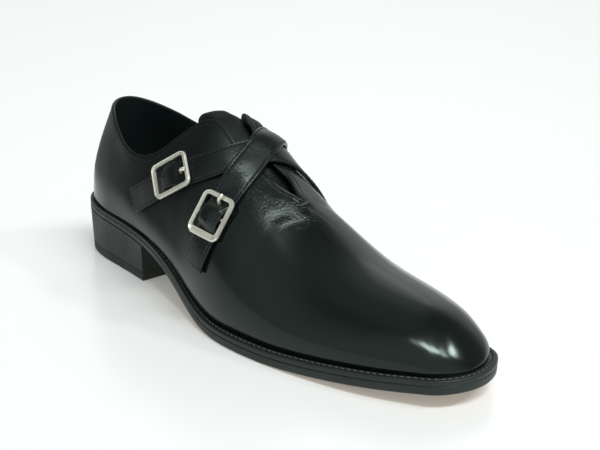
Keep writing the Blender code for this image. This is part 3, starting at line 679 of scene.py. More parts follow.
# === materials ============================================
class Nodes:
    """A node tree with short ways to add to it."""

    def __init__(self, tree):
        self.tree = tree
        self.coords = self.add("TexCoord").outputs

    def add(self, kind, **values):
        node = self.tree.nodes.new("ShaderNode" + kind)
        for key, value in values.items():
            if key in node.inputs:
                node.inputs[key].default_value = value
            else:
                setattr(node, key, value)
        return node

    def feed(self, socket, value):
        """Sets a socket to a fixed value or links another node's output to it."""
        if isinstance(value, bpy.types.NodeSocket):
            self.tree.links.new(value, socket)
        else:
            socket.default_value = value

    def noise(self, scale, detail=2.0, rough=0.5, vector=None):
        node = self.add("TexNoise", Scale=scale, Detail=detail, Roughness=rough)
        self.feed(node.inputs["Vector"], vector or self.coords["Object"])
        return node.outputs["Fac"]

    def ramp(self, source, low, high, out_low, out_high, **kind):
        node = self.add("MapRange", **kind)
        for socket, value in zip(node.inputs, (source, low, high, out_low, out_high)):
            self.feed(socket, value)
        return node.outputs["Result"]

    def combine(self, operation, one, other):
        node = self.add("Math", operation=operation)
        self.feed(node.inputs[0], one)
        self.feed(node.inputs[1], other)
        return node.outputs["Value"]

    def place(self, operation, vector, coords="Object"):
        """Dot product or distance of each point and a vector."""
        node = self.add("VectorMath", operation=operation)
        self.feed(node.inputs[0], self.coords[coords])
        self.feed(node.inputs[1], vector)
        return node.outputs["Value"]

    def tint(self, source, dark, light):
        node = self.add("Mix", data_type="RGBA")
        self.feed(node.inputs[0], source)
        self.feed(node.inputs[6], dark + (1.0,))
        self.feed(node.inputs[7], light + (1.0,))
        return node.outputs[2]


class Finish(Nodes):
    """A new material."""

    def __init__(self, name):
        self.made = bpy.data.materials.new(name)
        self.made.use_nodes = True
        super().__init__(self.made.node_tree)

    def set(self, name, value):
        self.feed(self.tree.nodes["Principled BSDF"].inputs[name], value)

    def bump(self, *layers):
        """Chain of bump nodes: rows of height output, strength, distance in metres."""
        previous = None
        for height, strength, distance in layers:
            node = self.add("Bump", Distance=distance)
            self.feed(node.inputs["Strength"], strength)
            self.feed(node.inputs["Height"], height)
            if previous:
                self.feed(node.inputs["Normal"], previous)
            previous = node.outputs["Normal"]
        self.set("Normal", previous)


def polish_fade(finish, y):
    """How dull the leather is, from 0 to 1: over the quarters, and where the straps rub."""
    back = finish.ramp(y, POLISH_FRONT, POLISH_BACK, 0.0, 1.0)
    high = finish.ramp(finish.place("DOT_PRODUCT", POLISH_TILT), POLISH_LOW, POLISH_HIGH, 0.0, 1.0)
    rear = finish.ramp(y, POLISH_HEEL, POLISH_REAR, 1.0, POLISH_REST)
    worn = finish.ramp(finish.place("DISTANCE", WORN), WORN_FULL, WORN_REACH, WORN_DULL, 0.0)
    quarters = finish.combine("MULTIPLY", finish.combine("MULTIPLY", back, high), rear)
    return finish.combine("ADD", quarters, worn)


def leather(name, dark, light, rough, dull, grain, crumple):
    """Finished leather: fine pores, a soft unevenness and patches of duller polish. Its
    roughness goes from rough to dull over the quarters; the grain is grain all over and
    opens to crumple round the throat, where the shoe bends."""
    finish = Finish(name)
    pores = finish.add("TexVoronoi", Scale=1500.0)
    finish.feed(pores.inputs["Vector"], finish.coords["Object"])
    patches = finish.noise(22.0, 3.0, 0.6)
    parts = finish.add("SeparateXYZ")
    finish.feed(parts.inputs["Vector"], finish.coords["Object"])
    y = parts.outputs["Y"]
    fade = polish_fade(finish, y)
    dull_tint = tuple(DULL_SHARE * c for c in GLOSS_TINT)
    shine = finish.ramp(y, SHINE_FULL, SHINE_FROM, SHINE, 1.0)
    uneven = finish.combine("MULTIPLY", finish.ramp(patches, 0.3, 0.7, 0.88, 1.12), shine)
    strength = finish.ramp(finish.place("DISTANCE", THROAT), THROAT_NEAR, THROAT_FAR, crumple, grain)
    finish.set("Base Color", finish.tint(patches, dark, light))
    finish.set("Specular IOR Level", 0.40)
    finish.set("Specular Tint", finish.tint(fade, GLOSS_TINT, dull_tint))
    finish.set("Roughness", finish.combine("MULTIPLY", finish.ramp(fade, 0.0, 1.0, rough, dull), uneven))
    finish.bump((finish.noise(45.0), 0.09, 0.0006), (finish.noise(880.0, 2.0, 0.55), strength, 0.00035),
                (pores.outputs["Distance"], strength, 0.0001))
    return finish.made


def thread_finish(name, dark, light):
    finish = Finish(name)
    twist = finish.noise(2500.0, 1.0)
    finish.set("Base Color", finish.tint(twist, dark, light))
    finish.set("Roughness", 0.45)
    finish.bump((twist, 0.6, 0.0002))
    return finish.made


def sole_finish():
    """Natural tan leather with fibres along the sole and a slight scuff."""
    finish = Finish("sole_tan")
    cloud = finish.noise(30.0, 4.0, 0.6)
    finish.set("Base Color", finish.tint(cloud, (0.34, 0.22, 0.12), (0.50, 0.34, 0.20)))
    finish.set("Roughness", finish.ramp(cloud, 0.3, 0.7, 0.38, 0.55))
    finish.bump((finish.noise(1200.0, 3.0), 0.25, 0.0002))
    return finish.made


def edge_finish(name, layers_scale, strength, rough):
    """Blackened leather edge: fine layers one above the other, waxed."""
    finish = Finish(name)
    stretch = finish.add("Mapping", Scale=(0.06, 0.06, 1.0))
    finish.feed(stretch.inputs["Vector"], finish.coords["Object"])
    lines = finish.noise(layers_scale, 3.0, 0.6, stretch.outputs["Vector"])
    finish.set("Base Color", finish.tint(lines, (0.006, 0.0075, 0.007), (0.020, 0.024, 0.023)))
    finish.set("Specular IOR Level", 0.42)
    finish.set("Specular Tint", EDGE_TINT)
    finish.set("Roughness", finish.ramp(finish.noise(60.0, 3.0), 0.3, 0.7, rough - 0.06, rough + 0.08))
    finish.bump((lines, strength, 0.0004))
    return finish.made


def metal_finish():
    """Polished nickel with a faint brushed bloom."""
    finish = Finish("nickel")
    bloom = finish.noise(180.0, 4.0, 0.6)
    finish.set("Base Color", finish.tint(bloom, (0.77, 0.76, 0.665), (0.83, 0.82, 0.725)))
    finish.set("Metallic", 0.65)
    finish.set("Roughness", finish.ramp(bloom, 0.3, 0.7, 0.34, 0.42))
    finish.bump((finish.noise(1500.0), 0.03, 0.00005))
    return finish.made


CALF = leather("calf", (0.0028, 0.0046, 0.0042), (0.0045, 0.0068, 0.0062), 0.21, 0.75, 0.015, 0.55)
STRAP_CALF = leather(
    "strap_calf", (0.0030, 0.0046, 0.0046), (0.0050, 0.0072, 0.0072), 0.22, 0.50, 0.20, 0.42)
LINING = leather("lining", (0.0100, 0.0170, 0.0180), (0.0180, 0.0290, 0.0300), 0.60, 0.70, 0.12, 0.12)
EDGE = edge_finish("waxed_edge", 900.0, 0.25, 0.42)
STACK = edge_finish("stacked_edge", 700.0, 0.55, 0.46)
RUBBER = edge_finish("heel_rubber", 300.0, 0.15, 0.62)
TAN = sole_finish()
NICKEL = metal_finish()
THREAD = thread_finish("thread", (0.006, 0.008, 0.0075), (0.014, 0.018, 0.017))
WELT_THREAD = thread_finish("welt_thread", (0.030, 0.036, 0.034), (0.070, 0.082, 0.078))


# === sole and heel ========================================
def outline_half(side, count=420):
    """Half of the sole's outline from heel to toe at even steps, as (x, s) pairs."""
    f = stations(0, 1, 1500, 1.0)
    half = np.stack((side * half_width(side, f) * closing(f), f * LENGTH), 1)
    run = run_along(half)
    return at_run(np.linspace(0, run[-1], count), run, half)


def inset_half(side, half, inset):
    """The half outline moved inwards by inset, square to its own direction."""
    d = np.gradient(half, axis=0)
    d[0] = (side, 0)
    d[-1] = (-side, 0)
    d = unit(d)
    moved = half + inset * side * np.stack((-d[:, 1], d[:, 0]), 1)
    moved[[0, -1], 0] = 0
    return moved


def slab(part, profile, bottom, top, finishes, slot, first_strips=0):
    """Plate in the sole's outline. The first strips and the lower face have the first
    finish, the others the last."""
    rings = []
    for side in SIDES:
        half = outline_half(side)
        for inset, from_top, offset in profile:
            x, s = inset_half(side, half, inset).T
            f = np.clip(s / LENGTH, 0, 1)
            rings.append(to_xyz(x, s, top(f) - offset if from_top else bottom(f) + offset))
    rows = len(profile)
    count = len(rings[0])
    strips = [min(int(k >= first_strips), len(finishes) - 1) for k in range(rows - 1)]
    plate = Bundle()
    for half in (rings[:rows], rings[rows:]):
        plate.add_grid(np.array(half))
    kinds = [kind for kind in strips for _ in range(count - 1)] * 2
    for row, kind in ((0, strips[0]), (rows - 1, strips[-1])):
        left = row * count
        right = (rows + row) * count
        for i in range(count - 1):
            plate.faces.append((left + i, left + i + 1, right + i + 1, right + i))
            kinds.append(kind)
    add_piece(part + "_visual", plate.points, plate.faces, finishes, slot, part, kinds, sharp=40, merge=0.02)


def make_sole():
    def parting(f):
        return underside(f) + OUTSOLE_PART * spline(UNDERSIDE, 2, f)

    def welt_low(f):
        return parting(f) + WELT_GAP

    slab("outsole", OUTSOLE_PROFILE, underside, parting, [TAN, EDGE], "sole_leather", TREAD_STRIPS)
    slab("welt", WELT_PROFILE, welt_low, edge_top, [EDGE], "edge_leather")
    for name, inset, sunk, stitch, finish in (
            ("welt_stitches", 1.9, 0.18, WELT_STITCH, WELT_THREAD),
            ("welt_wheel_marks", 3.0, 0.0, WHEEL_MARK, EDGE)):
        threads = Bundle()
        for side in SIDES:
            x, s = inset_half(side, outline_half(side), inset).T
            f = s / LENGTH
            path = to_xyz(x, s, edge_top(f) - sunk)[f > WELT_FROM]
            sew(threads, path, np.tile((0.0, 0.0, 1.0), (len(path), 1)), stitch)
        threads.piece(name, finish, "edge_leather")


def heel_ring(low_at, v, inset, count=90):
    """Closed ring round the heel block at share v of its height, drawn in by inset. The top
    piece starts at 0 and has an even height."""
    f = BREAST * np.linspace(0, 1, count) ** HEEL_CROWD
    full = underside(f) - GAP
    z = low_at + v * (full - low_at) if low_at > 0 else v * TOP_PIECE + 0 * f
    share = 1 - z / full
    s = f * LENGTH + (share * HEEL_TAPER_BACK + inset) * (1 - f / BREAST)
    halves = []
    for side in SIDES:
        x = side * (half_width(side, f) - share * HEEL_TAPER_SIDE - inset) * closing(f)
        halves.append(to_xyz(x, s - inset * (f > BREAST * 0.999), z))
    left, right = halves
    across = np.linspace(0, 1, 40)[1:-1, None]
    breast = left[-1] * (1 - across) + right[-1] * across
    return np.concatenate((left, breast, right[:0:-1]))


def make_heel_block(part, low_at, profile, finish, slot, side=90):
    rings = [heel_ring(low_at, v, inset, side) for v, inset in profile]
    count = len(rings[0])
    faces = grid_faces(len(rings), count, True)
    for start in (0, (len(rings) - 1) * count):
        left = list(range(start, start + side))
        right = [start] + list(range(start + count - 1, start + count - side, -1))
        for i in range(side - 1):
            faces.append((left[i], left[i + 1], right[i + 1], right[i]))
        faces.append(tuple(range(start + side - 1, start + count - side + 2)))
    add_piece(part + "_visual", np.concatenate(rings), faces, [finish], slot, part, sharp=35)


def make_heel():
    lifts = [((k + v) / LIFTS, inset) for k in range(LIFTS) for v, inset in LIFT_PROFILE]
    make_heel_block("heel_stack", TOP_PIECE + GAP / 2, lifts + [(1.0, 0.1)], STACK, "edge_leather")
    make_heel_block("heel_top_piece", 0.0, TOP_PIECE_PROFILE, RUBBER, "heel_rubber")


def make_insole(rows=160, columns=30):
    """Sock lining: the inside floor, a little dished towards its middle."""
    heel_gap, side_gap, toe_gap = INSOLE_GAPS
    start = FEATHER_BACK + WALL + heel_gap
    stop = LENGTH - FEATHER_FRONT - WALL - toe_gap
    g = stations(0, 1, rows)[:, None]
    s = start + g * (stop - start)
    f = s / LENGTH
    inset = welt_width(f) + WALL + side_gap
    left, right = (side * (half_width(side, f) - inset) * closing(g) for side in SIDES)
    across = (1 - np.cos(np.linspace(0, math.pi, columns))) / 2
    dish = INSOLE_DISH * np.sin(np.linspace(0, math.pi, columns)) ** 0.5
    floor = Bundle()
    for height, turned in ((INSOLE_THICK - dish, False), (0 * dish, True)):
        z = edge_top(f) + GAP + height
        floor.add_grid(to_xyz(left + (right - left) * across, s, z), turned)
    under = rows * columns
    for j in (0, columns - 1):
        for a in range(j, under - columns, columns):
            floor.faces.append((a, a + columns, a + columns + under, a + under))
    add_piece("insole_visual", floor.points, floor.faces, [LINING], "lining_leather", "insole")


# === upper ================================================
def fold_height(f, t, side):
    """Height of the soft folds at fraction f and level t."""
    total = np.zeros(np.broadcast(f, t).shape)
    scale_f, scale_t = FOLD_SCALE
    for f0, t0, f1, t1, on, wide, high in FOLDS:
        if on != side:
            continue
        du = (f1 - f0) * scale_f
        dv = (t1 - t0) * scale_t
        px = (f - f0) * scale_f
        py = (t - t0) * scale_t
        along = np.clip((px * du + py * dv) / (du * du + dv * dv), 0, 1)
        off = np.hypot(px - along * du, py - along * dv)
        total = total + high * hump(off, 0, wide) * (1 - 0.5 * along)
    return total


def toe_edge(f, t, side):
    """Height of the soft shoulder that bounds the flat top of the toe."""
    first, rise = TOE_EDGE_FROM
    last, fall = TOE_EDGE_TO
    level, higher, beyond = TOE_EDGE_LEVEL
    along = smooth((f - first) / rise) * smooth((last - f) / fall)
    off = (t - level - higher * smooth((f - beyond) / fall)) * TOE_GIRTH
    shoulder = sum(high * hump(off, at, wide) for high, at, wide in TOE_EDGE)
    return shoulder * along * (1.0 if side < 0 else TOE_EDGE_MEDIAL)


def upper_grid(f, side):
    """Points of the outer skin on one side: columns measured down from the top line, then
    evenly to the feather; with each point's level and distance from the top line."""
    fine = np.linspace(1, 0, 400)
    grid = []
    level = []
    depth = []
    deepest, middle, wide = SLIT_CUT
    cuts = deepest * hump(f, middle, wide) * smooth((SLIT_END - f) / 0.02) * (side > 0)
    for row, cut in zip(sections(f, side, fine), cuts):
        run = run_along(row)
        total = max(run[-1], 1e-6)
        near = cut + np.array(EDGE_STEPS) * min(1, total / 30)
        at = np.concatenate((near, np.linspace(near[-1], total, BODY_STEPS + 1)[1:]))
        grid.append(at_run(at, run, row))
        level.append(np.interp(at, run, fine))
        depth.append(at - cut)
    return np.array(grid), np.array(level), np.array(depth)


def make_wall(skin, heights):
    """The upper's wall: the outer skin raised by heights, the lining WALL inside it, and an
    edge between them, which is rolled along the top line."""
    bm, co, normals = joined(skin.points, skin.faces, 0.01, heights)
    layer = bm.verts.layers.float["height"]
    outer = co + normals * np.array([vert[layer] for vert in bm.verts])[:, None]
    inner = co - WALL * normals
    away = {}
    for vert in bm.verts:
        k = vert.index
        rim = [edge.other_vert(vert).index for edge in vert.link_edges if edge.is_boundary]
        if not rim:
            continue
        if co[k][2] < edge_top(fraction(co[k])) + GAP + 1.5:
            inner[k] = co[k] - WALL * unit(normals[k] * (1, 1, 0))
            continue
        within = [edge.other_vert(vert).index for edge in vert.link_edges if not edge.is_boundary]
        out = unit(np.cross(co[rim[0]] - co[rim[-1]], normals[k]))
        away[k] = out if out @ (co[k] - np.mean(co[within], axis=0)) > 0 else -out
    count = len(co)
    shell = [tuple(vert.index for vert in face.verts) for face in bm.faces]
    faces = shell + [tuple(k + count for k in reversed(face)) for face in shell]
    marks = [0] * len(shell) + [1] * len(shell)
    points = list(outer) + list(inner)
    arcs = {}
    swell, swell_at, swell_wide = LIP_SWELL
    for k, out in away.items():
        lip = LIP + swell * hump(fraction(co[k]), swell_at, swell_wide) * (co[k][0] > 0)
        middle = (outer[k] + inner[k]) / 2
        radius = np.linalg.norm(outer[k] - inner[k]) / 2
        arcs[k] = [k, *range(len(points), len(points) + EDGE_ROLL - 1), k + count]
        for angle in np.linspace(0, math.pi, EDGE_ROLL + 1)[1:-1]:
            points.append(middle + radius * (math.cos(angle) * normals[k] + lip * math.sin(angle) * out))
    for a, b in ([vert.index for vert in edge.verts] for edge in bm.edges if edge.is_boundary):
        one, other = (a, a + count), (b, b + count)
        if a in arcs and b in arcs:
            one, other = arcs[a], arcs[b]
        for i in range(len(one) - 1):
            faces.append((one[i], other[i], other[i + 1], one[i + 1]))
            marks.append(0)
    bm.free()
    add_piece("upper_visual", points, faces, [CALF, LINING], "upper_leather", "upper", marks,
              sharp=60, merge=0.001)


def make_upper():
    f = slit_stations(320, 0.7)
    column = f[:, None]
    skin = Bundle()
    heights = []
    grids = []
    for side in SIDES:
        grid, level, depth = upper_grid(f, side)
        height = sum(high * hump(depth, at, wide) for high, at, wide in (RIM_SWELL, RIM_TRENCH))
        height *= smooth((SLIT_END - column) / 0.012)
        height += fold_height(column, level, side) + toe_edge(column, level, side)
        for f_at, f_wide, t_at, t_wide, high in SWELLS:
            height += (side > 0) * high * hump(column, f_at, f_wide) * hump(level, t_at, t_wide)
        skin.add_grid(grid)
        heights += list(height.reshape(-1))
        grids.append(grid)
    make_wall(skin, heights)
    threads = Bundle()
    row = EDGE_STEPS.index(RIM_STITCH)
    last = int(np.argmin(abs(f - SLIT_END))) - 3
    for grid, span in zip(grids, (slice(last, 0, -1), slice(1, last))):
        sew(threads, grid[span, row], grid_normals(grid, MIDDLE)[span, row], UPPER_STITCH)
    threads.piece("upper_stitches", THREAD, "upper_leather")


# === straps and buckles ===================================
class Skin:
    """The upper's outer surface with the throat bridged over, which straps, buckles and
    tongue are laid on. Heights are measured outwards along its smooth normal."""

    def __init__(self):
        f = slit_stations(110, 0.55)
        parts = Bundle()
        for side in SIDES:
            parts.add_grid(sections(f, side, np.linspace(0, 1, 24)))
        throat = f[(f >= BRIDGE_FROM) & (f <= SLIT_END)]
        parts.add_grid(bridge(throat, np.linspace(0, 1, 9)))
        bm, self.points, self.normals = joined(parts.points, parts.faces, 0.02, triangles=True)
        self.faces = [[vert.index for vert in face.verts] for face in bm.faces]
        self.tree = BVHTree.FromPolygons(self.points.tolist(), self.faces)
        bm.free()

    def found(self, hit, face):
        """A hit on a face and the smooth normal there."""
        corners = self.faces[face]
        weights = poly_3d_calc([Vector(self.points[k]) for k in corners], hit)
        return np.array(hit), unit(np.array(weights) @ self.normals[corners])

    def nearest(self, point):
        hit, _, face, _ = self.tree.find_nearest(Vector(point))
        return self.found(hit, face)

    def along(self, point, direction):
        start = Vector(point + RAY * direction)
        hit, _, face, _ = self.tree.ray_cast(start, Vector(-direction))
        return self.nearest(point) if hit is None else self.found(hit, face)


class Route:
    """Centre line of a strap on the skin, through the rows of a table of points."""

    def __init__(self, skin, rows):
        self.skin = skin
        marks = self.laid(rows)
        run = run_along(marks)
        self.path = self.laid(cubic(run, marks, np.linspace(0, run[-1], 200)))
        self.run = run_along(self.path)
        self.length = self.run[-1]

    def laid(self, points):
        """The points moved onto the skin."""
        return np.array([self.skin.nearest(p)[0] for p in points])

    def centre(self, a):
        return at_run(a, self.run, self.path)

    def ahead(self, a):
        return unit(self.centre(a + 2) - self.centre(a - 2))

    def base(self, a, c):
        """Skin point and normal at distance a along the route and c across it."""
        inside = min(max(a, 2), self.length - 2)
        ahead = self.ahead(inside)
        middle = self.centre(inside) + ahead * (a - inside)
        up = self.skin.nearest(middle)[1]
        return self.skin.along(middle + c * unit(np.cross(ahead, up)), up)

    def place(self, a, c, height):
        hit, normal = self.base(a, c)
        return hit + height * normal

    def across(self, point):
        """Distance along the route and distance off it of a point near it."""
        k = int(np.argmin(np.linalg.norm(self.path - point, axis=1)))
        up = self.skin.nearest(self.path[k])[1]
        side = unit(np.cross(self.ahead(self.run[k]), up))
        return self.run[k], (point - self.path[k]) @ side


def buckle_rise(off_bar, long):
    """Height a strap gains over a buckle's centre bar, from its distance to the bar."""
    return (BAR_UNDER + CENTRE_BAR) * math.exp(-(off_bar / (0.23 * long)) ** 4)


class Strap:
    """A strap with the height of its underside over the skin along its length."""

    def __init__(self, tag, route, buckle, holes, slant, under=None):
        bar, self.long, self.lift = buckle
        self.tag = tag
        self.route = route
        self.bar = route.across(bar)[0]
        self.holes = [self.bar + a for a in holes]
        self.slant = slant
        self.under = under
        self.lay()

    def height(self, a, c):
        return self.rest(a, c) + buckle_rise(a - self.bar, self.long)

    def rest(self, a, c):
        """Height of the strap where no buckle bar lies under it."""
        if self.under is None:
            high, reach, edge, wide = REAR_STRAP_ARCH
            crown = self.route.across(CROSSING)[0]
            return SEAT + high * smooth(1 - abs(a - crown) / reach) * smooth((c - edge) / wide)
        b, off = self.under.route.across(self.route.place(a, c, 0))
        top = self.under.height(b, np.clip(off, -STRAP_HALF, STRAP_HALF)) + STRAP_THICK + GAP
        return SEAT + top * smooth(1 - (abs(off) - STRAP_HALF - 1.0) / OVER_SLOPE)

    def slanted(self, a, c):
        """Place along the strap that the slant of its end gives a point."""
        return a + c * self.slant * smooth((a - self.route.length) / SLANT_LENGTH + 1)

    def lay(self, reach=21):
        """Underside as a grid, evened out along the strap where no buckle holds it down."""
        self.along = np.arange(-3.0, self.route.length + 3.0, STRAP_STEP)
        self.offs = np.linspace(-STRAP_HALF, STRAP_HALF, 9)
        grid = np.array([[self.route.place(a, c, self.rest(a, c)) for c in self.offs] for a in self.along])
        weights = hump(np.arange(-reach, reach + 1) * STRAP_STEP, 0, EVEN_REACH)
        padded = np.pad(grid, ((reach, reach), (0, 0), (0, 0)), "reflect", reflect_type="odd")
        even = sum(w * padded[k:k + len(grid)] for k, w in enumerate(weights / weights.sum()))
        even += EVEN_LIFT * grid_normals(even, MIDDLE)
        off = self.along - self.bar
        (start, growth), (stop, fade) = EVEN_FROM, EVEN_TO
        free = smooth((abs(off) - start) / growth) * smooth((stop - off) / fade)
        self.grid = grid + (even - grid) * free[:, None, None]
        self.normals = grid_normals(self.grid, MIDDLE)

    def surface(self, a, c):
        """Point of the underside and its normal, the rise over the buckle's bar included."""
        i = (a - self.along[0]) / STRAP_STEP
        j = (c - self.offs[0]) / (self.offs[1] - self.offs[0])
        i0 = int(np.clip(i, 0, len(self.along) - 2))
        j0 = int(np.clip(j, 0, len(self.offs) - 2))
        u = i - i0
        v = j - j0
        found = []
        for table in (self.grid, self.normals):
            low, high = (row[j0] * (1 - v) + row[j0 + 1] * v for row in table[i0:i0 + 2])
            found.append(low * (1 - u) + high * u)
        normal = unit(found[1])
        return found[0] + buckle_rise(a - self.bar, self.long) * normal, normal


def strap_top(c):
    """Height of a strap's crowned face over its underside."""
    return STRAP_THICK + STRAP_CROWN * (1 - (c / STRAP_HALF) ** 2)


def strap_section(r=0.75):
    """Cross section of a strap as (c, height above the underside) round from the lower left:
    flat below, turned edges, a stitch trench near each edge and a low crown between."""
    flat = STRAP_HALF - r
    low = [(c, 0.0) for c in np.linspace(flat, -flat, 9)]
    left = [(-flat - r * math.sin(a), r - r * math.cos(a)) for a in np.linspace(0.3, 1.57, 4)]
    left += [(-flat - r * math.cos(a), STRAP_THICK - r + r * math.sin(a)) for a in np.linspace(0, 1.3, 5)]
    top = [c - STRAP_ROW for c in (-0.5, -0.25, 0.0, 0.25, 0.5, 0.9)]
    top += [-4.6, -3.6, -2.6, -1.9, -1.4, -1.1, -0.9, -0.7, -0.45, -0.2, 0.0]
    over = []
    deep, wide = STRAP_TRENCH
    for c in top + [-c for c in top[-2::-1]]:
        trench = deep * (hump(c, STRAP_ROW, wide) + hump(c, -STRAP_ROW, wide))
        over.append((c, strap_top(c) - trench))
    return low + left + over + [(-c, h) for c, h in reversed(left)]


def strap_row(strap, a, section):
    """Points round the strap at a: its ends are rounded off, the buckle draws it in and the
    bar lifts and creases it."""
    end = min(a, strap.route.length - a)
    narrow = STRAP_CORNER - math.sqrt(STRAP_CORNER ** 2 - max(STRAP_CORNER - end, 0) ** 2)
    taper, left = STRAP_THIN
    thin = left + (1 - left) * math.sqrt(1 - (1 - min(end / taper, 1)) ** 2)
    reach, drawn_in, bulge = STRAP_HELD
    held = math.exp(-((a - strap.bar) / (reach * strap.long)) ** 6)
    row = []
    for c, h in section:
        rise = STRAP_THICK / 2 + (h - STRAP_THICK / 2) * thin
        if h > STRAP_THICK * 0.6:
            rise += bulge * held * (1 - (c / STRAP_HALF) ** 2)
            for at, slope, wide, high in WRINKLES:
                rise += high * hump(a - slope * c, strap.bar + at, wide) * hump(c, 0, WRINKLE_HALF)
            for hole in strap.holes:
                rise -= HOLE_DEPTH * smooth((HOLE - math.hypot(a - hole, c)) / HOLE_EDGE)
        c_at = c * (1 - narrow / STRAP_HALF) * (1 - drawn_in * held)
        point, normal = strap.surface(strap.slanted(a, c), c_at)
        row.append(point + rise * normal)
    return row


def make_strap(strap):
    length = strap.route.length
    ends = np.linspace(0, 1.2, 8)
    marks = [np.linspace(0, length, int(length / STRAP_STEP) + 1), ends, length - ends]
    marks += [hole + np.linspace(-HOLE_DEPTH, HOLE_DEPTH, 14) for hole in strap.holes]
    section = strap_section()
    rows = [strap_row(strap, a, section) for a in np.unique(np.concatenate(marks))]
    count = len(section)
    last = count * (len(rows) - 1)
    faces = grid_faces(len(rows), count, True) + [tuple(range(count)), tuple(range(last, last + count))]
    name = "strap_" + strap.tag
    add_piece(name + "_visual", np.concatenate(rows), faces, [STRAP_CALF], "upper_leather", name,
              sharp=70)
    stop = length - STRAP_SEAM
    rails = [[(a, c) for a in np.linspace(2.0, stop, 160)] for c in (-STRAP_ROW, STRAP_ROW)]
    rails.append([(stop, c) for c in np.linspace(1 - STRAP_ROW, STRAP_ROW - 1, 20)])
    threads = Bundle()
    for rail in rails:
        path = []
        normals = []
        for a, c in rail:
            point, normal = strap.surface(strap.slanted(a, c), c)
            sunk = 0.18 if abs(c) == STRAP_ROW else -0.05
            path.append(point + (strap_top(c) - sunk) * normal)
            normals.append(normal)
        sew(threads, path, normals, STRAP_STITCH)
    threads.piece(name + "_stitches", THREAD, "upper_leather")


def frame_path(long, wide, corner, steps=12):
    """Rounded rectangle as (a, c, outward a, outward c)."""
    half_a = long / 2 - corner
    half_c = wide / 2 - corner
    path = []
    for quarter, (sa, sc) in enumerate(((1, 1), (-1, 1), (-1, -1), (1, -1))):
        for angle in math.pi / 2 * (quarter + np.linspace(0, 1, steps + 1)):
            na = math.cos(angle)
            nc = math.sin(angle)
            path.append((sa * half_a + corner * na, sc * half_c + corner * nc, na, nc))
        a, c = path[-1][:2]
        for u in np.linspace(1, -1, steps + 1)[1:-1]:
            if quarter % 2 == 0:
                path.append((sa * half_a * u, c, na, nc))
            else:
                path.append((a, sc * half_c * u, na, nc))
    return path


def bar_section(wide, thick, r=BUCKLE_EDGE, steps=4):
    """Cross section of a buckle bar as (inset, height) pairs round it: a raised rim near the
    outer edge, a lower ledge towards the inside and a hollow below. Only the lowest outer
    corner is rounded outwards; the other three curves bend inwards."""
    ring = []
    for inset, h, start in ((r, r, 270), (r, thick - r, 90), (wide - r, thick - r, 0), (wide - r, r, 270)):
        for angle in np.radians(start - np.linspace(0, 90, steps + 1)):
            ring.append((inset + r * math.cos(angle), h + r * math.sin(angle)))
    return ring


def make_frame(strap, wide_end, lean, turn, raised):
    """wide_end: extra width of the far end's bar; lean and turn: slant of the frame's ends
    and of its sides; raised: how far it sits off centre."""
    route = strap.route
    bar = strap.bar
    reach = (strap.long - BUCKLE_BAR) / 2
    near = route.place(bar - reach, 0, FRAME_UNDER + strap.rest(bar - reach, 0))
    far = route.place(bar + reach, 0, FRAME_UNDER + strap.lift + strap.rest(bar + reach, 0))
    ahead = unit(far - near)
    side = route.place(bar, 9, 0) - route.place(bar, -9, 0)
    side = unit(side - ahead * (side @ ahead))
    above = np.cross(side, ahead)
    above *= np.sign(above @ (route.place(bar, 0, 5) - route.place(bar, 0, 0)))
    section = bar_section(BUCKLE_BAR, BUCKLE_THICK)
    path = frame_path(strap.long, BUCKLE_WIDE, BUCKLE_CORNER)
    path.append(path[0])
    points = []
    for a, c, na, nc in path:
        share = smooth((a / (strap.long / 2) - 0.55) / 0.4)
        for inset, h in section:
            wide = inset * (1 + wide_end * share)
            pa = a - wide * na
            pc = c - wide * nc
            points.append((near + far) / 2 + (pa + lean * pc) * ahead
                          + (pc - turn * pa + raised) * side + h * above)
    faces = grid_faces(len(path), len(section), True)
    add_piece("buckle_%s_visual" % strap.tag, points, faces, [NICKEL], "buckle_metal",
              "buckle_frame_" + strap.tag, sharp=75)


def make_centre_bar(strap, lean, raised):
    rod = []
    for c in np.linspace(-BAR_HALF, BAR_HALF, 25):
        height = BAR_UNDER + CENTRE_BAR / 2 - max(0, abs(c) - BAR_FLAT) * BAR_SINK
        rod.append(strap.route.place(strap.bar + lean * c, c + raised, height))
    points, faces = tube(rod, [CENTRE_BAR / 2] * len(rod))
    add_piece("buckle_bar_" + strap.tag, points, faces, [NICKEL], "buckle_metal")


def make_prong(strap):
    """Prong from the centre bar under the strap, then up and over the near end's bar."""
    end = -strap.long / 2
    top = SEAT + FRAME_UNDER + BUCKLE_THICK + GAP + PRONG_THICK / 2
    keys = (
        (-1.0, BAR_UNDER + CENTRE_BAR / 2), (-3.5, 1.7), (end + 7.8, 1.4), (end + 6.0, 2.8),
        (end + 4.6, 4.7), (end + 3.4, top), (end + 2.3, top + 0.1), (end + 1.5, top - 0.05),
        (end + 1.0, top - 0.4))
    fine = np.linspace(0, 1, 40)
    line = cubic(np.linspace(0, 1, len(keys)), keys, fine)
    rod = [strap.route.place(strap.bar + a, 0, h) for a, h in line]
    tip = np.sqrt(np.clip(1 - np.clip((fine - 0.93) / 0.07, 0, 1) ** 2, 0.02, 1))
    radii = (PRONG_WIDE / 2 + 0.3 * smooth((fine - 0.5) / 0.3)) * tip
    name = "buckle_prong_" + strap.tag
    add_piece(name + "_visual", *tube(rod, radii), [NICKEL], "buckle_metal", name)


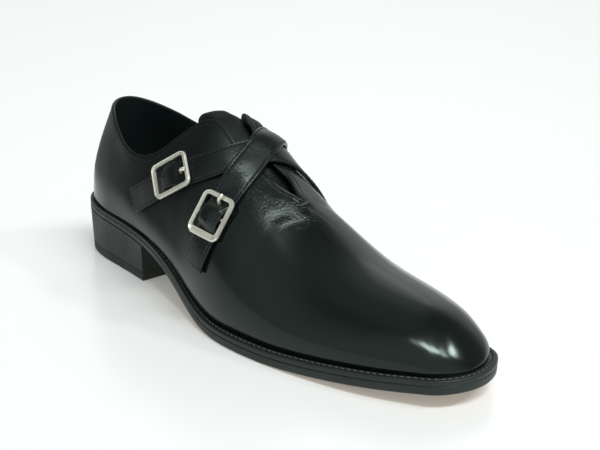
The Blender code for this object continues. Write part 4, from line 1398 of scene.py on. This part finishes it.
# === tongue and bar tack ==================================
def tongue_rows(skin):
    """Rows of the tongue's outer face as in the CAD solid, each of eleven points."""
    rows = []
    levels = np.linspace(0.3, 1, 40)
    for f, half in TONGUE_ROWS:
        f = np.array([f])
        left, right = (sections(f, side, levels)[0] for side in SIDES)
        line = np.concatenate((left, bridge(f, np.linspace(0.1, 0.9, 9))[0], right[::-1]))
        run = run_along(line)
        row = []
        for point in at_run(run[len(levels) + 4] + np.linspace(-half, half, TONGUE_COLUMNS), run, line):
            hit, normal = skin.nearest(point)
            row.append(hit - (WALL + TONGUE_GAP + TONGUE_THICK / 2) * normal)
        rows.append(np.array(row))
    last = rows[-1]
    crest = last[TONGUE_COLUMNS // 2]
    for back, up, width, sag in TONGUE_TOP:
        rows.append(crest + (last - crest) * (width, 1, sag) + (0, back, up))
    return np.array(rows)


def run_both_ways(grid, axis):
    """Distances along the lines of a grid from their first and from their last point."""
    steps = np.linalg.norm(np.diff(grid, axis=axis), axis=2)
    run = np.cumsum(np.insert(steps, 0, 0, axis), axis)
    return run, np.take(run, [-1], axis) - run


def tongue_middle(skin):
    """Middle surface of the tongue as a grid, its top corners rounded off and its sides
    bent down at the back."""
    rows = tongue_rows(skin)
    count, across = TONGUE_GRID
    last = len(rows) - 1
    at = stations(0, last, count, 0.5)
    lines = []
    for j, c in enumerate(np.linspace(-1, 1, TONGUE_COLUMNS)):
        corner = max(abs(c) - TONGUE_FLAT, 0) / (1 - TONGUE_FLAT)
        cut = TONGUE_CORNERS[int(c > 0)] * (1 - math.sqrt(1 - corner ** 2))
        lines.append(cubic(range(last + 1), rows[:, j], at * (1 - cut / last)).reshape(-1))
    grid = cubic(range(TONGUE_COLUMNS), lines, stations(0, TONGUE_COLUMNS - 1, across, 0.6))
    grid = grid.reshape(across, count, 3).swapaxes(0, 1)
    late = smooth((at - TONGUE_BEND_FROM) / 2.0)[:, None]
    bent, start, growth = TONGUE_BENDS
    lateral = np.clip(1 - np.arange(across) / bent, 0, 1) ** 2
    medial = smooth((np.arange(across) - start) / growth)
    grid[..., 0] -= late * TONGUE_SPREAD * lateral
    grid[..., 2] -= late * (TONGUE_DROP_LATERAL * lateral + TONGUE_DROP_MEDIAL * medial)
    return grid


def make_tongue(skin):
    middle = tongue_middle(skin)
    normals = grid_normals(middle, MIDDLE)
    low, top = run_both_ways(middle, 0)
    edge = np.minimum(np.minimum(*run_both_ways(middle, 1)), top)
    near = np.minimum(edge, low)
    half = TONGUE_THICK / 2
    half = half * np.sqrt(1 - (1 - np.clip(near / half, 0, 1)) ** 2)
    deep, wide = TONGUE_TRENCH
    high, growth, reach, fade = TONGUE_PUFF
    puff = high * smooth((edge - TONGUE_SEAM) / growth) * smooth((reach - top) / fade)
    puff -= deep * hump(edge, TONGUE_SEAM, wide)
    outer = middle + normals * (half + puff * (near > 0.2))[..., None]
    body = Bundle()
    body.add_grid(outer)
    marks = [0] * len(body.faces) + [1] * len(body.faces)
    body.add_grid(middle - normals * half[..., None], turned=True)
    tongue = add_piece("tongue_visual", body.points, body.faces, [CALF, LINING], "upper_leather",
                       "tongue", marks, sharp=60, merge=0.01)
    threads = Bundle()
    row = int(np.argmin(abs(top[:, TONGUE_GRID[1] // 2] - TONGUE_SEAM)))
    sew(threads, outer[row, 6:84], normals[row, 6:84], TONGUE_STITCH)
    threads.piece("tongue_stitches", THREAD, "upper_leather")


def make_bar_tack(skin):
    """Stitches that close the end of the slit: three long threads under eleven short ones."""
    hit, normal = skin.nearest(sections(np.array([TACK_AT]), 1, (1.0,))[0, 0])
    hit = hit + normal * fold_height(TACK_AT, 1.0, 1)
    across = np.array(TACK_ACROSS)
    across = unit(across - normal * (across @ normal))
    ahead = np.cross(normal, across)
    threads = Bundle()
    for v in np.linspace(-0.45, 0.45, 3):
        path = [hit + across * u + ahead * v + normal * (0.35 - 0.06 * abs(u) ** 1.5)
                for u in np.linspace(-4.4, 4.4, 9)]
        threads.add(*tube(path, [0.15] + [0.32] * 7 + [0.15], 8))
    for u in np.linspace(-3.9, 3.9, 11):
        path = [hit + across * u + ahead * v + normal * (0.62 - 0.5 * (v / 0.95) ** 2)
                for v in np.linspace(-0.95, 0.95, 7)]
        threads.add(*tube(path, [0.12, 0.26, 0.28, 0.28, 0.28, 0.26, 0.12], 6))
    threads.piece("bar_tack", WELT_THREAD, "upper_leather")


# === surroundings =========================================
def make_stage():
    bpy.ops.mesh.primitive_circle_add(
        vertices=96, radius=FLOOR_RADIUS, fill_type="NGON", location=(0, 0, FLOOR_HEIGHT))
    floor = bpy.context.object
    floor.name = "floor"
    gloss = Finish("floor_gloss")
    gloss.set("Base Color", gloss.tint(gloss.noise(6.0), *FLOOR_COLOURS))
    gloss.set("Roughness", 0.22)
    gloss.set("Emission Color", FLOOR_GLOW)
    gloss.set("Emission Strength", FLOOR_GLOW_STRENGTH)
    floor.data.materials.append(gloss.made)


def make_light():
    world = bpy.data.worlds.new("studio")
    bpy.context.scene.world = world
    world.use_nodes = True
    sky = Nodes(world.node_tree)
    total = ROOM_LIGHT
    for direction, first, full, gain in SOFT_LIGHTS:
        facing = sky.place("DOT_PRODUCT", direction, "Generated")
        lobe = sky.ramp(facing, first, full, 0.0, gain, interpolation_type="SMOOTHSTEP")
        total = sky.combine("ADD", total, lobe)
    background = world.node_tree.nodes["Background"]
    sky.feed(background.inputs["Strength"], total)
    sky.feed(background.inputs["Color"], ROOM_COLOUR)
    for name, direction, angle, power in LAMPS:
        light = bpy.data.lights.new(name, "SUN")
        light.angle = math.radians(angle)
        light.energy = power
        lamp = bpy.data.objects.new(name, light)
        lamp.rotation_euler = Vector(direction).to_track_quat("Z", "Y").to_euler()
        bpy.context.scene.collection.objects.link(lamp)


def crosswise(ahead):
    """Directions to the right and up for a view ahead."""
    right = ahead.cross(Vector((0, 0, 1))).normalized()
    return right, right.cross(ahead)


def make_camera():
    azimuth, elevation, pan, tilt, roll = (math.radians(angle) for angle in (
        CAMERA_AZIMUTH, CAMERA_ELEVATION, CAMERA_PAN, CAMERA_TILT, CAMERA_ROLL))
    level = math.cos(elevation)
    back = Vector((math.sin(azimuth) * level, -math.cos(azimuth) * level, math.sin(elevation)))
    place = Vector(CAMERA_TARGET) + CAMERA_DISTANCE * back
    right, up = crosswise(-back)
    ahead = -back * math.cos(pan) * math.cos(tilt) + right * math.sin(pan) * math.cos(tilt)
    ahead = (ahead + up * math.sin(tilt)).normalized()
    right, up = crosswise(ahead)
    turned_right = right * math.cos(roll) + up * math.sin(roll)
    turned_up = up * math.cos(roll) - right * math.sin(roll)
    axes = Matrix((turned_right, turned_up, -ahead)).transposed().to_4x4()
    camera = bpy.data.objects.new("camera", bpy.data.cameras.new("camera"))
    camera.data.lens = CAMERA_LENS
    camera.data.sensor_width = CAMERA_SENSOR
    camera.data.clip_start, camera.data.clip_end = CAMERA_CLIP
    camera.matrix_world = Matrix.Translation(place * MM) @ axes
    bpy.context.scene.collection.objects.link(camera)
    bpy.context.scene.camera = camera


make_sole()
make_heel()
make_insole()
make_upper()
SKIN = Skin()
REAR = Strap("rear", Route(SKIN, REAR_STRAP), REAR_BUCKLE, REAR_HOLES, REAR_SLANT)
FRONT = Strap("front", Route(SKIN, FRONT_STRAP), FRONT_BUCKLE, FRONT_HOLES, 0.0, REAR)
for STRAP in (REAR, FRONT):
    make_strap(STRAP)
for STRAP, (WIDE_END, LEAN, TURN, RAISED) in ((REAR, REAR_FRAME), (FRONT, FRONT_FRAME)):
    make_frame(STRAP, WIDE_END, LEAN, TURN, RAISED)
    make_centre_bar(STRAP, LEAN, RAISED)
    make_prong(STRAP)
make_tongue(SKIN)
make_bar_tack(SKIN)
for NODE in ("buckle_chape_front", "buckle_chape_rear"):
    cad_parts[NODE].data.materials.clear()
    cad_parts[NODE].data.materials.append(STRAP_CALF)
make_stage()
make_light()
make_camera()
bpy.context.scene.view_settings.view_transform = "Standard"
